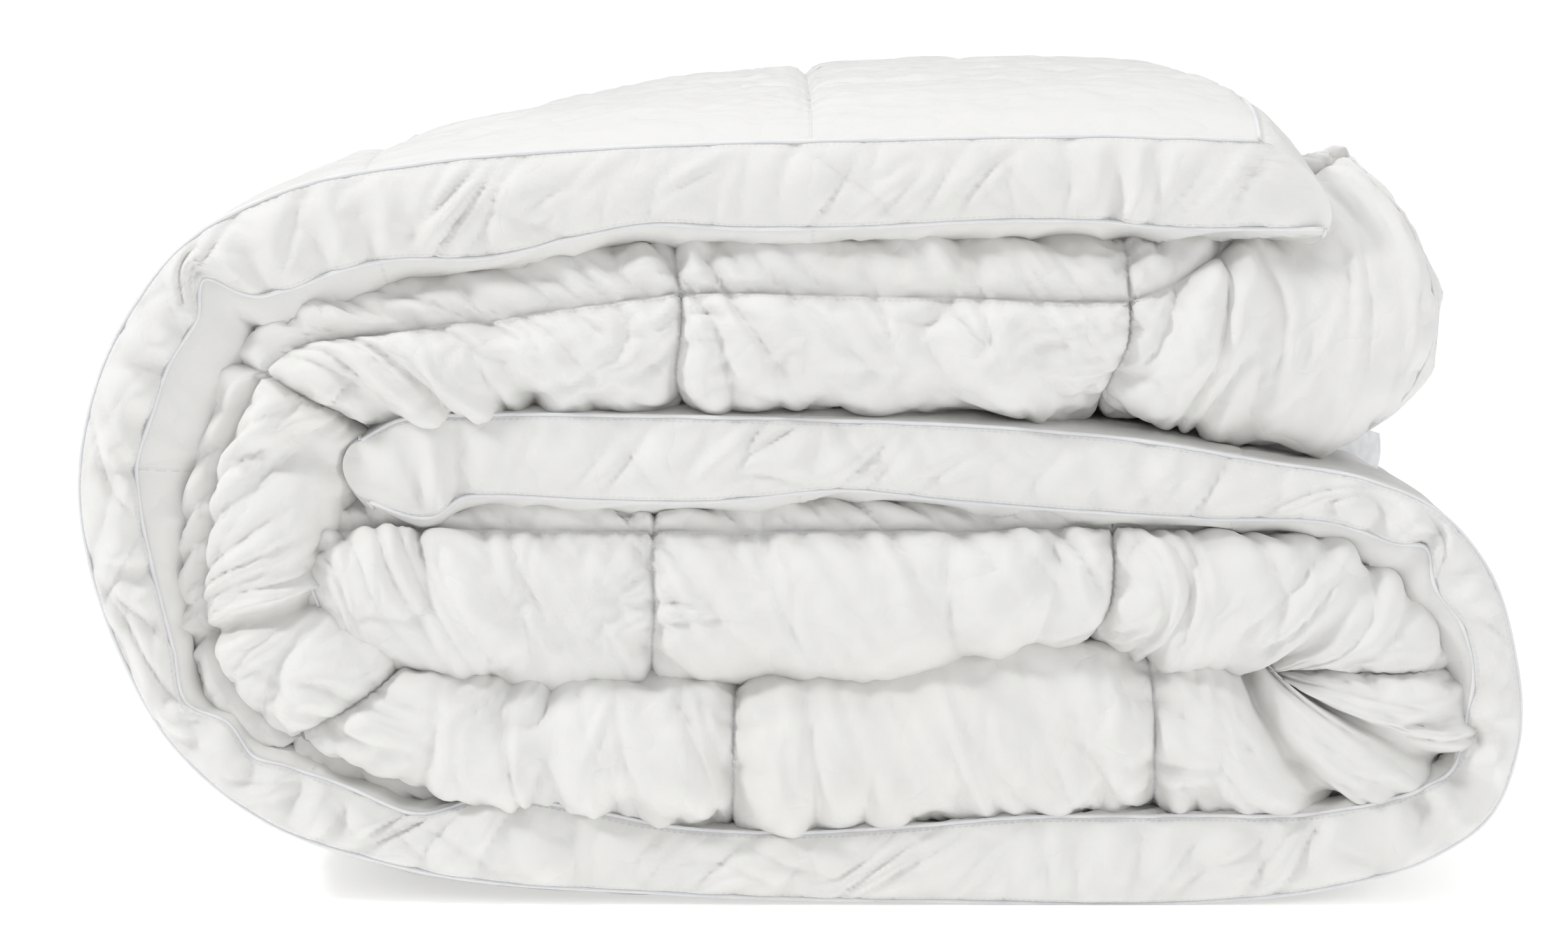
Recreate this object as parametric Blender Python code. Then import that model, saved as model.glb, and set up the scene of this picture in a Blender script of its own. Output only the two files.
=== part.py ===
"""A gusseted down duvet, folded in thirds across its width and then rolled up lengthwise in three passes.

The duvet is 10 rows of 10 stitched boxes. Across the width it is folded like a Z, so every pass of the roll
holds three layers: an outer layer whose gusset faces the front, and two layers that meet in a fold there.
Along its length the folded duvet starts inside the roll, runs right as the middle pass, turns down and back
left as the bottom pass, and turns up and right again as the top pass.

A place on the duvet is (station, rise, depth): the length along the roll in metres, the share of the pass's
thickness from its inner side (0) to its outer side (1), and the distance from the front, along +Y.
"""

import math

import bmesh
import bpy
from mathutils import Vector

# The duvet laid flat.
BOX_LENGTH = 0.229
BOX_WIDTH = 0.224
ROWS = 10
COLUMNS = 10
LAYER_LOFT = 0.049
CLOTH = 0.0004
BAFFLE = 0.0003
PIPING = 0.0035
END_PIPING_REACH = 1.25 * PIPING

# The folded duvet.
SEAM_GAP = 0.0006
LAYER_GAP = 0.0016
PASS_GAP = 0.0036
BOTTOM_SQUEEZE = 0.83
MIDDLE_SQUEEZE = 0.98
TOP_SQUEEZE = 1.0
LEFT_SQUEEZE = 0.79
RIGHT_SQUEEZE = 0.92
SHOULDER_SQUEEZE = 0.86
BEND_SPACING = 0.41
MIDDLE_LEAD = 0.056
START_ROUNDING = 0.12
START_KEEP = 0.66
END_ROUNDING = 0.13
END_KEEP = 0.68
MIDDLE_DROP = 0.018
MIDDLE_DROP_LENGTH = 0.20
MOST_AROUND = 0.5
LEFT_CORE = 0.088
START_SLIP = 0.004
END_SLIP = 0.075
SLIP_FREE_RISE = 0.6
KEEP_RISE = 0.45
SHOULDER_SHARE = 0.6
BACK_EDGE_INSET = 0.026

# The care label, sewn into the lower end seam.
LABEL_WIDTH = 0.040
LABEL_DROP = 0.020
LABEL_THICKNESS = 0.0008
LABEL_DEPTH = 0.15

# Facets.
MOST_SAG = 0.0016
MOST_PARTS = 8
FOLD_FACETS = 6
PIPING_SIDES = 6
PATH_SAMPLES = 480
PATH_STRETCHES = 5

# Worked out from the sizes above.
PASS_LOFT = 3 * LAYER_LOFT
BOTTOM = BOTTOM_SQUEEZE * PASS_LOFT
MIDDLE = MIDDLE_SQUEEZE * PASS_LOFT
TOP = TOP_SQUEEZE * PASS_LOFT
MIDDLE_TOP = BOTTOM + PASS_GAP + MIDDLE
LEFT_CENTRE = BOTTOM + PASS_GAP + MIDDLE / 2
LEFT_REACH = LEFT_CORE + LEFT_SQUEEZE * PASS_LOFT
RIGHT_REACH = RIGHT_SQUEEZE * PASS_LOFT
PIVOT_HEIGHT = BOTTOM + PASS_GAP / 2
DUVET_LENGTH = ROWS * BOX_LENGTH
DUVET_WIDTH = COLUMNS * BOX_WIDTH
HALF_LAYER = (LAYER_LOFT - LAYER_GAP) / 2
HALF_FILL = HALF_LAYER - CLOTH - SEAM_GAP
OUTER_LAYER = 2.5 * LAYER_LOFT
FRONT_TURN = LAYER_LOFT
BACK_TURN = (DUVET_WIDTH - math.pi * LAYER_LOFT + 2 * FRONT_TURN + BACK_EDGE_INSET) / 3
INNER_EDGE = BACK_TURN - BACK_EDGE_INSET
OUTER_CENTRE_RISE = OUTER_LAYER / PASS_LOFT


def eased(share):
    """A share from 0 to 1 with a flat start and end."""
    share = min(1.0, max(0.0, share))
    return share * share * (3 - 2 * share)


def middle_height(x):
    """The height of the middle pass's outer side, which eases down to the right bend and follows it round."""
    past = (x - BEND_SPACING + MIDDLE_DROP_LENGTH) / MIDDLE_DROP_LENGTH
    high = MIDDLE_TOP - MIDDLE_DROP * eased(past)
    around = min(MOST_AROUND, max(0.0, x - BEND_SPACING) / RIGHT_REACH)
    return PIVOT_HEIGHT + (high - PIVOT_HEIGHT) * math.sqrt(1 - around**2)


def middle_pair(x):
    """The inner and outer points of the middle pass at x, a little thinner at its start."""
    low, high = BOTTOM + PASS_GAP, middle_height(x)
    to_start = max(0.0, START_ROUNDING - MIDDLE_LEAD - x) / START_ROUNDING
    keep = 1 - (1 - START_KEEP) * to_start**2
    centre, half = (low + high) / 2, (high - low) / 2 * keep
    return Vector((x, 0, centre - half)), Vector((x, 0, centre + half))


def right_pair(angle):
    """The two points of the right bend at an angle from +X, in degrees, from 90 down to -90."""
    side, up = math.cos(math.radians(angle)), math.sin(math.radians(angle))
    upright = middle_height(BEND_SPACING) - PIVOT_HEIGHT if angle > 0 else PIVOT_HEIGHT
    pivot = Vector((BEND_SPACING, 0, PIVOT_HEIGHT))
    inner = pivot + Vector((side, 0, up)) * PASS_GAP / 2
    return inner, pivot + Vector((RIGHT_REACH * side, 0, upright * up))


def left_pair(angle):
    """The two points of the left bend at an angle from -Z towards -X, in degrees, from 0 to 180."""
    turn = math.radians(angle)
    rising = angle > 90
    inner_up = MIDDLE_TOP + PASS_GAP - LEFT_CENTRE if rising else LEFT_CENTRE - BOTTOM
    outer_up = inner_up + SHOULDER_SQUEEZE * PASS_LOFT if rising else LEFT_CENTRE
    side, up = math.sin(turn), -math.cos(turn)
    inner = Vector((-LEFT_CORE * side, 0, LEFT_CENTRE + inner_up * up))
    outer = Vector((-LEFT_REACH * side, 0, LEFT_CENTRE + outer_up * up))
    return inner, outer


def top_pair(x):
    """The two points of the top pass at x. It swells past the left bend."""
    low = middle_height(x) + PASS_GAP
    squeeze = SHOULDER_SQUEEZE + (TOP_SQUEEZE - SHOULDER_SQUEEZE) * eased(x / (SHOULDER_SHARE * BEND_SPACING))
    return Vector((x, 0, low)), Vector((x, 0, low + squeeze * PASS_LOFT))


def path_pairs():
    """Closely spaced pairs of points along the whole roll, from its start inside to its end on top."""
    steps = PATH_SAMPLES // PATH_STRETCHES
    shares = [i / steps for i in range(steps)]
    pairs = [middle_pair(-MIDDLE_LEAD + s * (BEND_SPACING + MIDDLE_LEAD)) for s in shares]
    pairs += [right_pair(90 - 180 * s) for s in shares]
    bottom_x = [BEND_SPACING * (1 - s) for s in shares]
    pairs += [(Vector((x, 0, BOTTOM)), Vector((x, 0, 0))) for x in bottom_x]
    pairs += [left_pair(180 * s) for s in shares]
    pairs += [top_pair(s * 2 * BEND_SPACING) for s in shares]
    return pairs


class Roll:
    """The rolled path of the duvet: it turns a place on the duvet into a point of the model."""

    def __init__(self):
        pairs = path_pairs()
        centres = [inner.lerp(outer, OUTER_CENTRE_RISE) for inner, outer in pairs]
        reached = [0.0]
        for before, after in zip(centres, centres[1:]):
            reached.append(reached[-1] + (after - before).length)
        self.reached = reached
        self.pairs = pairs
        self.facets = self.choose_facets()

    def pair_at(self, station):
        """The inner and outer points at a station, carried on straight past both ends."""
        last = len(self.reached) - 2
        i = next((i for i in range(last) if self.reached[i + 1] > station), last)
        share = (station - self.reached[i]) / (self.reached[i + 1] - self.reached[i])
        (inner, outer), (next_inner, next_outer) = self.pairs[i], self.pairs[i + 1]
        return inner.lerp(next_inner, share), outer.lerp(next_outer, share)

    def smooth_point(self, station, rise):
        """The point at a station and rise. The inner layers slip past the outer one towards both ends."""
        slip = (END_SLIP + START_SLIP) * station / DUVET_LENGTH - START_SLIP
        inner, outer = self.pair_at(station + slip * (SLIP_FREE_RISE - rise))
        point = inner.lerp(outer, rise)
        to_end = max(0.0, station - (DUVET_LENGTH - END_ROUNDING)) / END_ROUNDING
        keep = 1 - (1 - END_KEEP) * to_end**2
        return inner.lerp(outer, KEEP_RISE).lerp(point, keep)

    def choose_facets(self):
        """Stations at each row's ends, and as many between them as keep every facet close to the curve."""
        facets = []
        for row in range(ROWS):
            start = row * BOX_LENGTH
            parts = 2
            while parts < MOST_PARTS and self.sag(start, BOX_LENGTH / parts, parts) > MOST_SAG:
                parts += 1
            facets += [start + BOX_LENGTH * i / parts for i in range(parts)]
        return facets + [DUVET_LENGTH]

    def sag(self, start, length, count):
        """How far the roll's inner and outer sides bow out of a row's facets, at the most."""
        found = 0.0
        for i in range(count):
            for rise in (0.0, 1.0):
                ends = [self.smooth_point(start + (i + end) * length, rise) for end in (0, 1)]
                middle = self.smooth_point(start + (i + 0.5) * length, rise)
                found = max(found, (middle - ends[0].lerp(ends[1], 0.5)).length)
        return found

    def point(self, station, thickness, depth):
        """The point at a station, a thickness in the unsqueezed pass and a depth, on the facets of the roll."""
        rise = thickness / PASS_LOFT
        facets = self.facets
        i = next((i for i in range(len(facets) - 2) if facets[i + 1] >= station), len(facets) - 2)
        share = (station - facets[i]) / (facets[i + 1] - facets[i])
        start = self.smooth_point(facets[i], rise)
        end = self.smooth_point(facets[i + 1], rise)
        flat = start.lerp(end, share)
        return Vector((flat.x, depth, flat.z))

    def stations(self, start, end):
        """The facets' stations from start to end, with both ends."""
        return [start] + [s for s in self.facets if start < s < end] + [end]


def layer_line(offset):
    """The Z-folded width as (thickness, depth) points, moved sideways by offset towards the duvet's outer face."""
    turns = [math.pi * i / FOLD_FACETS for i in range(FOLD_FACETS + 1)]
    wide, tight = LAYER_LOFT / 2 + offset, LAYER_LOFT / 2 - offset
    line = [(OUTER_LAYER + offset, 0.0)]
    line += [(2 * LAYER_LOFT + wide * math.cos(t), BACK_TURN + wide * math.sin(t)) for t in turns]
    line += [(LAYER_LOFT + tight * math.cos(t), FRONT_TURN - tight * math.sin(t)) for t in turns]
    line += [(LAYER_LOFT / 2 + offset, INNER_EDGE)]
    return line


def material(name, colour, roughness):
    """A plain cloth or filling material."""
    made = bpy.data.materials.get(name) or bpy.data.materials.new(name)
    made.use_nodes = True
    shader = made.node_tree.nodes["Principled BSDF"]
    shader.inputs["Base Color"].default_value = (*colour, 1.0)
    shader.inputs["Roughness"].default_value = roughness
    shader.inputs["Metallic"].default_value = 0.0
    return made


def cotton():
    """The white downproof cotton of the faces and gussets."""
    return material("white_cotton", (0.93, 0.93, 0.92), 0.85)


def piping_cotton():
    """The white cotton over the piping cord."""
    return material("piping_cotton", (0.95, 0.95, 0.95), 0.8)


def baffle_mesh():
    """The light cotton mesh of the baffle walls."""
    return material("baffle_mesh", (0.90, 0.90, 0.88), 0.9)


def down():
    """The down and feather filling."""
    return material("down", (0.88, 0.87, 0.84), 0.95)


def label_satin():
    """The satin ribbon of the care label."""
    return material("label_satin", (0.86, 0.86, 0.87), 0.5)


def add_object(name, corners, faces, finish):
    """An object made from points and faces, its faces turned outwards."""
    mesh = bpy.data.meshes.new(name)
    shape = bmesh.new()
    verts = [shape.verts.new(corner) for corner in corners]
    for face in faces:
        shape.faces.new([verts[i] for i in face])
    bmesh.ops.recalc_face_normals(shape, faces=shape.faces)
    shape.to_mesh(mesh)
    shape.free()
    mesh.materials.append(finish)
    made = bpy.data.objects.new(name, mesh)
    bpy.context.scene.collection.objects.link(made)
    return made


def split_quad(a, b, c, d):
    """The two triangles of a quad, cut from its first corner to its third."""
    return [(a, b, c), (a, c, d)]


def grid_solid(rings):
    """The faces of a solid whose cross-sections are rings of points: a line, and a second one back beside it.

    Both lines' quads are cut along the same diagonal, so that thin pieces and their neighbours stay apart.
    """
    size = len(rings[0])
    half = size // 2
    faces = []
    for k in range(len(rings) - 1):
        low, high = k * size, (k + 1) * size
        for i in range(size):
            j = (i + 1) % size
            if i < half:
                faces += split_quad(low + i, low + j, high + j, high + i)
            else:
                faces += split_quad(low + j, high + j, high + i, low + i)
    for base in (0, (len(rings) - 1) * size):
        for i in range(half - 1):
            faces += split_quad(base + i, base + i + 1, base + size - 2 - i, base + size - 1 - i)
    return faces


def folded_piece(name, roll, low, high, start, end, finish):
    """A piece as wide as the duvet, between two offsets from the layers' middle, from one station to another."""
    outline = layer_line(high) + layer_line(low)[::-1]
    rings = [[roll.point(s, t, y) for t, y in outline] for s in roll.stations(start, end)]
    corners = [corner for ring in rings for corner in ring]
    return add_object(name, corners, grid_solid(rings), finish)


def edge_strip(name, roll, middle, face_depth, facing, finish):
    """The gusset along one long edge: a strip as high as a layer, just outside the edge."""
    near = face_depth + facing * SEAM_GAP
    far = near + facing * CLOTH
    low, high = middle - HALF_LAYER, middle + HALF_LAYER
    outline = [(low, near), (high, near), (high, far), (low, far)]
    rings = [[roll.point(s, t, y) for t, y in outline] for s in roll.stations(0, DUVET_LENGTH)]
    corners = [corner for ring in rings for corner in ring]
    return add_object(name, corners, grid_solid(rings), finish)


def cord(name, line, finish):
    """A round cord with closed ends along a line of points, made as a bevelled curve."""
    data = bpy.data.curves.new(name, "CURVE")
    data.dimensions = "3D"
    data.bevel_depth = PIPING / 2
    data.bevel_resolution = (PIPING_SIDES - 4) // 2
    data.use_fill_caps = True
    spline = data.splines.new("POLY")
    spline.points.add(len(line) - 1)
    for place, point in zip(spline.points, line):
        place.co = (*point, 1.0)
    data.materials.append(finish)
    made = bpy.data.objects.new(name, data)
    bpy.context.scene.collection.objects.link(made)
    return made


def long_piping(name, roll, middle, side, face_depth, facing):
    """The piping along one long seam, in front of the gusset's edge."""
    depth = face_depth + facing * (2 * SEAM_GAP + CLOTH + PIPING / 2)
    thickness = middle + side * (HALF_LAYER - PIPING)
    line = [roll.point(s, thickness, depth) for s in roll.stations(0, DUVET_LENGTH)]
    return cord(name, line, piping_cotton())


def end_piping(name, roll, side, station):
    """The piping across one end seam, which follows the fold of the width."""
    line = [roll.point(station, t, y) for t, y in layer_line(side * (HALF_LAYER - PIPING))]
    return cord(name, line, piping_cotton())


def faces_and_gussets(roll):
    """The two face cloths and the four gussets that join them."""
    finish = cotton()
    folded_piece("outer_face", roll, HALF_LAYER - CLOTH, HALF_LAYER, 0, DUVET_LENGTH, finish)
    folded_piece("inner_face", roll, -HALF_LAYER, CLOTH - HALF_LAYER, 0, DUVET_LENGTH, finish)
    edge_strip("front_gusset", roll, OUTER_LAYER, 0, -1, finish)
    edge_strip("back_gusset", roll, LAYER_LOFT / 2, INNER_EDGE, 1, finish)
    near, far = SEAM_GAP, SEAM_GAP + CLOTH
    folded_piece("start_gusset", roll, -HALF_LAYER, HALF_LAYER, -far, -near, finish)
    end = DUVET_LENGTH
    folded_piece("end_gusset", roll, -HALF_LAYER, HALF_LAYER, end + near, end + far, finish)


def pipings(roll):
    """The eight piped seams: two along each gusset, on the outer face's side and on the inner face's."""
    beyond = 2 * SEAM_GAP + CLOTH + END_PIPING_REACH
    for face, side in (("outer", 1), ("inner", -1)):
        long_piping(f"front_piping_{face}", roll, OUTER_LAYER, side, 0, -1)
        long_piping(f"back_piping_{face}", roll, LAYER_LOFT / 2, side, INNER_EDGE, 1)
        end_piping(f"start_piping_{face}", roll, side, -beyond)
        end_piping(f"end_piping_{face}", roll, side, DUVET_LENGTH + beyond)


def filling(roll):
    """The down in each row of boxes, and the baffle walls between the rows."""
    clear = BAFFLE / 2 + SEAM_GAP
    for row in range(ROWS):
        start = row * BOX_LENGTH + (clear if row else 0)
        end = (row + 1) * BOX_LENGTH - (clear if row < ROWS - 1 else 0)
        folded_piece(f"fill_row_{row + 1:02d}", roll, -HALF_FILL, HALF_FILL, start, end, down())
    for row in range(1, ROWS):
        seam = row * BOX_LENGTH
        ends = seam - BAFFLE / 2, seam + BAFFLE / 2
        folded_piece(f"cross_baffle_{row}", roll, -HALF_FILL, HALF_FILL, *ends, baffle_mesh())


def care_label(roll):
    """A blank folded ribbon that hangs from the lower seam at the roll's outer end."""
    beyond = 2 * SEAM_GAP + CLOTH + PIPING
    top = roll.point(DUVET_LENGTH + beyond + LABEL_THICKNESS, LAYER_LOFT / 2 - HALF_LAYER, LABEL_DEPTH)
    low = top.z - LABEL_DROP
    x = (top.x, top.x + LABEL_THICKNESS)
    y = (LABEL_DEPTH, LABEL_DEPTH + LABEL_WIDTH)
    corners = [(i, j, k) for k in (low, top.z) for j in y for i in x]
    faces = [(0, 1, 3, 2), (4, 5, 7, 6), (0, 1, 5, 4), (2, 3, 7, 6), (0, 2, 6, 4), (1, 3, 7, 5)]
    return add_object("care_label", corners, faces, label_satin())


def centre_on_origin():
    """Moves everything so that the middle of the footprint is at the origin, on z 0."""
    bpy.context.view_layer.update()
    graph = bpy.context.evaluated_depsgraph_get()
    made = list(bpy.context.scene.objects)
    corners = []
    for obj in made:
        evaluated = obj.evaluated_get(graph)
        mesh = evaluated.to_mesh()
        corners += [obj.matrix_world @ vertex.co for vertex in mesh.vertices]
        evaluated.to_mesh_clear()
    middle = [(min(c[i] for c in corners) + max(c[i] for c in corners)) / 2 for i in (0, 1)]
    floor = min(c.z for c in corners)
    for obj in made:
        obj.location = (-middle[0], -middle[1], -floor)


def main():
    """Builds the folded duvet."""
    for old in list(bpy.data.objects):
        bpy.data.objects.remove(old)
    roll = Roll()
    faces_and_gussets(roll)
    pipings(roll)
    filling(roll)
    care_label(roll)
    centre_on_origin()


main()
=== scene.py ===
"""The looks of a gusseted down duvet, folded in thirds across its width and rolled up in three passes.

The roll is drawn by the lines that show on its front: the two piped seams of the gusset, and the fold of
the two inner layers beside it. A place along the duvet is a row number from 0, the end inside the roll, to
10, the end on top. Each face cloth is a grid over the rows and over the width of the duvet, its boxes are
puffed, and a position-based cloth simulation then puckers them at their seams.
"""

import logging
import math
from dataclasses import dataclass
from enum import Enum

import bpy
import numpy as np
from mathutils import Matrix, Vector

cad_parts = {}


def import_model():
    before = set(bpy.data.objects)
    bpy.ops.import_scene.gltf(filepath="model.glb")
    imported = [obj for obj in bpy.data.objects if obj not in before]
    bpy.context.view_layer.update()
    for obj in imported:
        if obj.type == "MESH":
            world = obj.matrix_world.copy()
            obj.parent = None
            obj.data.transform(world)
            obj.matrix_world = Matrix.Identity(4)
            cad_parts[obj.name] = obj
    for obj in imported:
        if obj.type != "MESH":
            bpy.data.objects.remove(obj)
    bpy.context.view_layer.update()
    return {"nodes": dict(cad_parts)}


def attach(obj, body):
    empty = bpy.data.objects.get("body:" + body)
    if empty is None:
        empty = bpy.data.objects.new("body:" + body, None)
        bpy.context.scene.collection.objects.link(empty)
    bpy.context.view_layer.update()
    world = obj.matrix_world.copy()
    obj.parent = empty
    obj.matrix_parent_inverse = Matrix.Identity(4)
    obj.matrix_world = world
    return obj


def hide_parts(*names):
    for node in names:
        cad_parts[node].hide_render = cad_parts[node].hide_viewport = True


LOG = logging.getLogger("duvet")
MM = 0.001
ROWS = 10
BODY = "root"

# The depths of the folded duvet's front and back, and the thickness of one of its layers.
FRONT = -0.392
BACK = 0.388
LAYER = 0.046
# How far before the back the free edge lies inside the roll.
BACK_EDGE_INSET = 0.070
# How far a corner's rounding reaches along a strip, and how far its stitches lie inside its edge.
CORNER_REACH = 0.022
STITCH_INSET = 0.0017
# A distance that stands for no seam at all.
FAR = 1.0
# How close to the floor a simulated point may come.
LOWEST = 0.0004

Points = np.ndarray


def through(keys: Points, values: Points, at: Points) -> Points:
    """Reads a smooth curve through values.

    Args:
        keys: Rising places of the values, one each.
        values: Numbers or points, one row for each key.
        at: Places to read the curve at.

    Returns:
        One number or point for each place.
    """
    keys = np.asarray(keys, float)
    values = np.asarray(values, float)
    table = values.reshape(len(keys), -1)
    slopes = np.gradient(table, keys, axis=0)
    first = np.clip(np.searchsorted(keys, at) - 1, 0, len(keys) - 2)
    span = (keys[first + 1] - keys[first])[:, None]
    share = (np.asarray(at) - keys[first])[:, None] / span
    square, cube = share**2, share**3
    read = (
        (2 * cube - 3 * square + 1) * table[first]
        + (cube - 2 * square + share) * span * slopes[first]
        + (3 * square - 2 * cube) * table[first + 1]
        + (cube - square) * span * slopes[first + 1]
    )
    return read.reshape((len(read),) + values.shape[1:])


def eased(share: Points) -> Points:
    """A share from 0 to 1 with a flat start and end."""
    share = np.clip(share, 0, 1)
    return share * share * (3 - 2 * share)


def steps(start: float, end: float, count: int) -> Points:
    """Even places after start, up to end."""
    return np.linspace(start, end, count + 1)[1:]


def run_lengths(points: Points) -> Points:
    """The length along a line of points up to each of them."""
    sides = np.linalg.norm(np.diff(points, axis=0), axis=1)
    return np.concatenate([[0.0], np.cumsum(sides)])


def unit(vectors: Points) -> Points:
    """Vectors brought to length 1."""
    return vectors / np.maximum(np.linalg.norm(vectors, axis=-1, keepdims=True), 1e-9)


def between(start: Points, end: Points, shares: Points) -> Points:
    """Points on the straight lines from start to end: an array of (rows, shares, 3)."""
    return start[:, None, :] + (end - start)[:, None, :] * np.asarray(shares)[None, :, None]


class SmoothNoise:
    """Seeded noise that changes smoothly from place to place."""

    def __init__(self, seed: int, size: int = 64) -> None:
        """Draws the noise's slopes.

        Args:
            seed: The start of the random draws.
            size: The number of cells after which the noise repeats.
        """
        turns = np.random.default_rng(seed).uniform(0, 2 * math.pi, (size, size))
        self.size = size
        self.slopes = np.stack([np.cos(turns), np.sin(turns)], -1)

    def at(self, x: Points, y: Points) -> Points:
        """Reads the noise.

        Args:
            x: Places along one way, in cells.
            y: Places along the other.

        Returns:
            Values of about -1 to 1.
        """
        x, y = np.broadcast_arrays(x, y)
        column, row = np.floor(x).astype(int), np.floor(y).astype(int)
        right, up = x - column, y - row
        corners = []
        for i, j in ((0, 0), (1, 0), (0, 1), (1, 1)):
            slope = self.slopes[(column + i) % self.size, (row + j) % self.size]
            corners.append(slope[..., 0] * (right - i) + slope[..., 1] * (up - j))
        right, up = eased(right), eased(up)
        low = corners[0] + (corners[1] - corners[0]) * right
        high = corners[2] + (corners[3] - corners[2]) * right
        return 1.5 * (low + (high - low) * up)

    def folds(self, x: Points, y: Points, wander: float = 0.5) -> Points:
        """Rounded swells with sharp valleys between them, from 0 in a valley to about 1."""
        aside = wander * self.at(0.6 * x + 11.3, 0.6 * y + 5.1)
        return np.abs(self.at(x + aside, y + aside)) ** 0.75

    def field(self, shape: tuple[int, int], cells: tuple[int, int]) -> Points:
        """One patch of noise over a grid, with so many cells along each side."""
        return self.at(np.linspace(0, cells[0], shape[0])[:, None], np.linspace(0, cells[1], shape[1])[None])


@dataclass(frozen=True)
class Ripples:
    """One set of folds in a cloth: height, spacing both ways, slant and place in the noise, in metres."""

    height: float
    along: float
    down: float
    slant: float = 0.0
    turn: float = 0.0
    place: tuple[float, float] = (0.0, 0.0)
    wander: float = 0.9
    # The height where the cloth is calm.
    least: float = 0.0

    def read(self, noise: SmoothNoise, along: Points, down: Points, rough: Points | float = 1.0) -> Points:
        """Reads the folds.

        Args:
            noise: The noise that they come from.
            along: Places along the duvet's length.
            down: Places across it.
            rough: 0 where the cloth is calm, up to 1 where it is at its fullest.

        Returns:
            The cloth's height at each place.
        """
        first = (along + self.slant * down) / self.along + self.place[0]
        second = (down + self.turn * along) / self.down + self.place[1]
        height = self.least + (self.height - self.least) * rough
        return height * noise.folds(first, second, self.wander)


@dataclass(frozen=True)
class FoldStation:
    """Where the fold of the two inner layers lies at one row: x and z in millimetres."""

    row: float
    outer: tuple[int, int]
    tip: tuple[int, int]
    inner: tuple[int, int]
    seam_share: float


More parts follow.
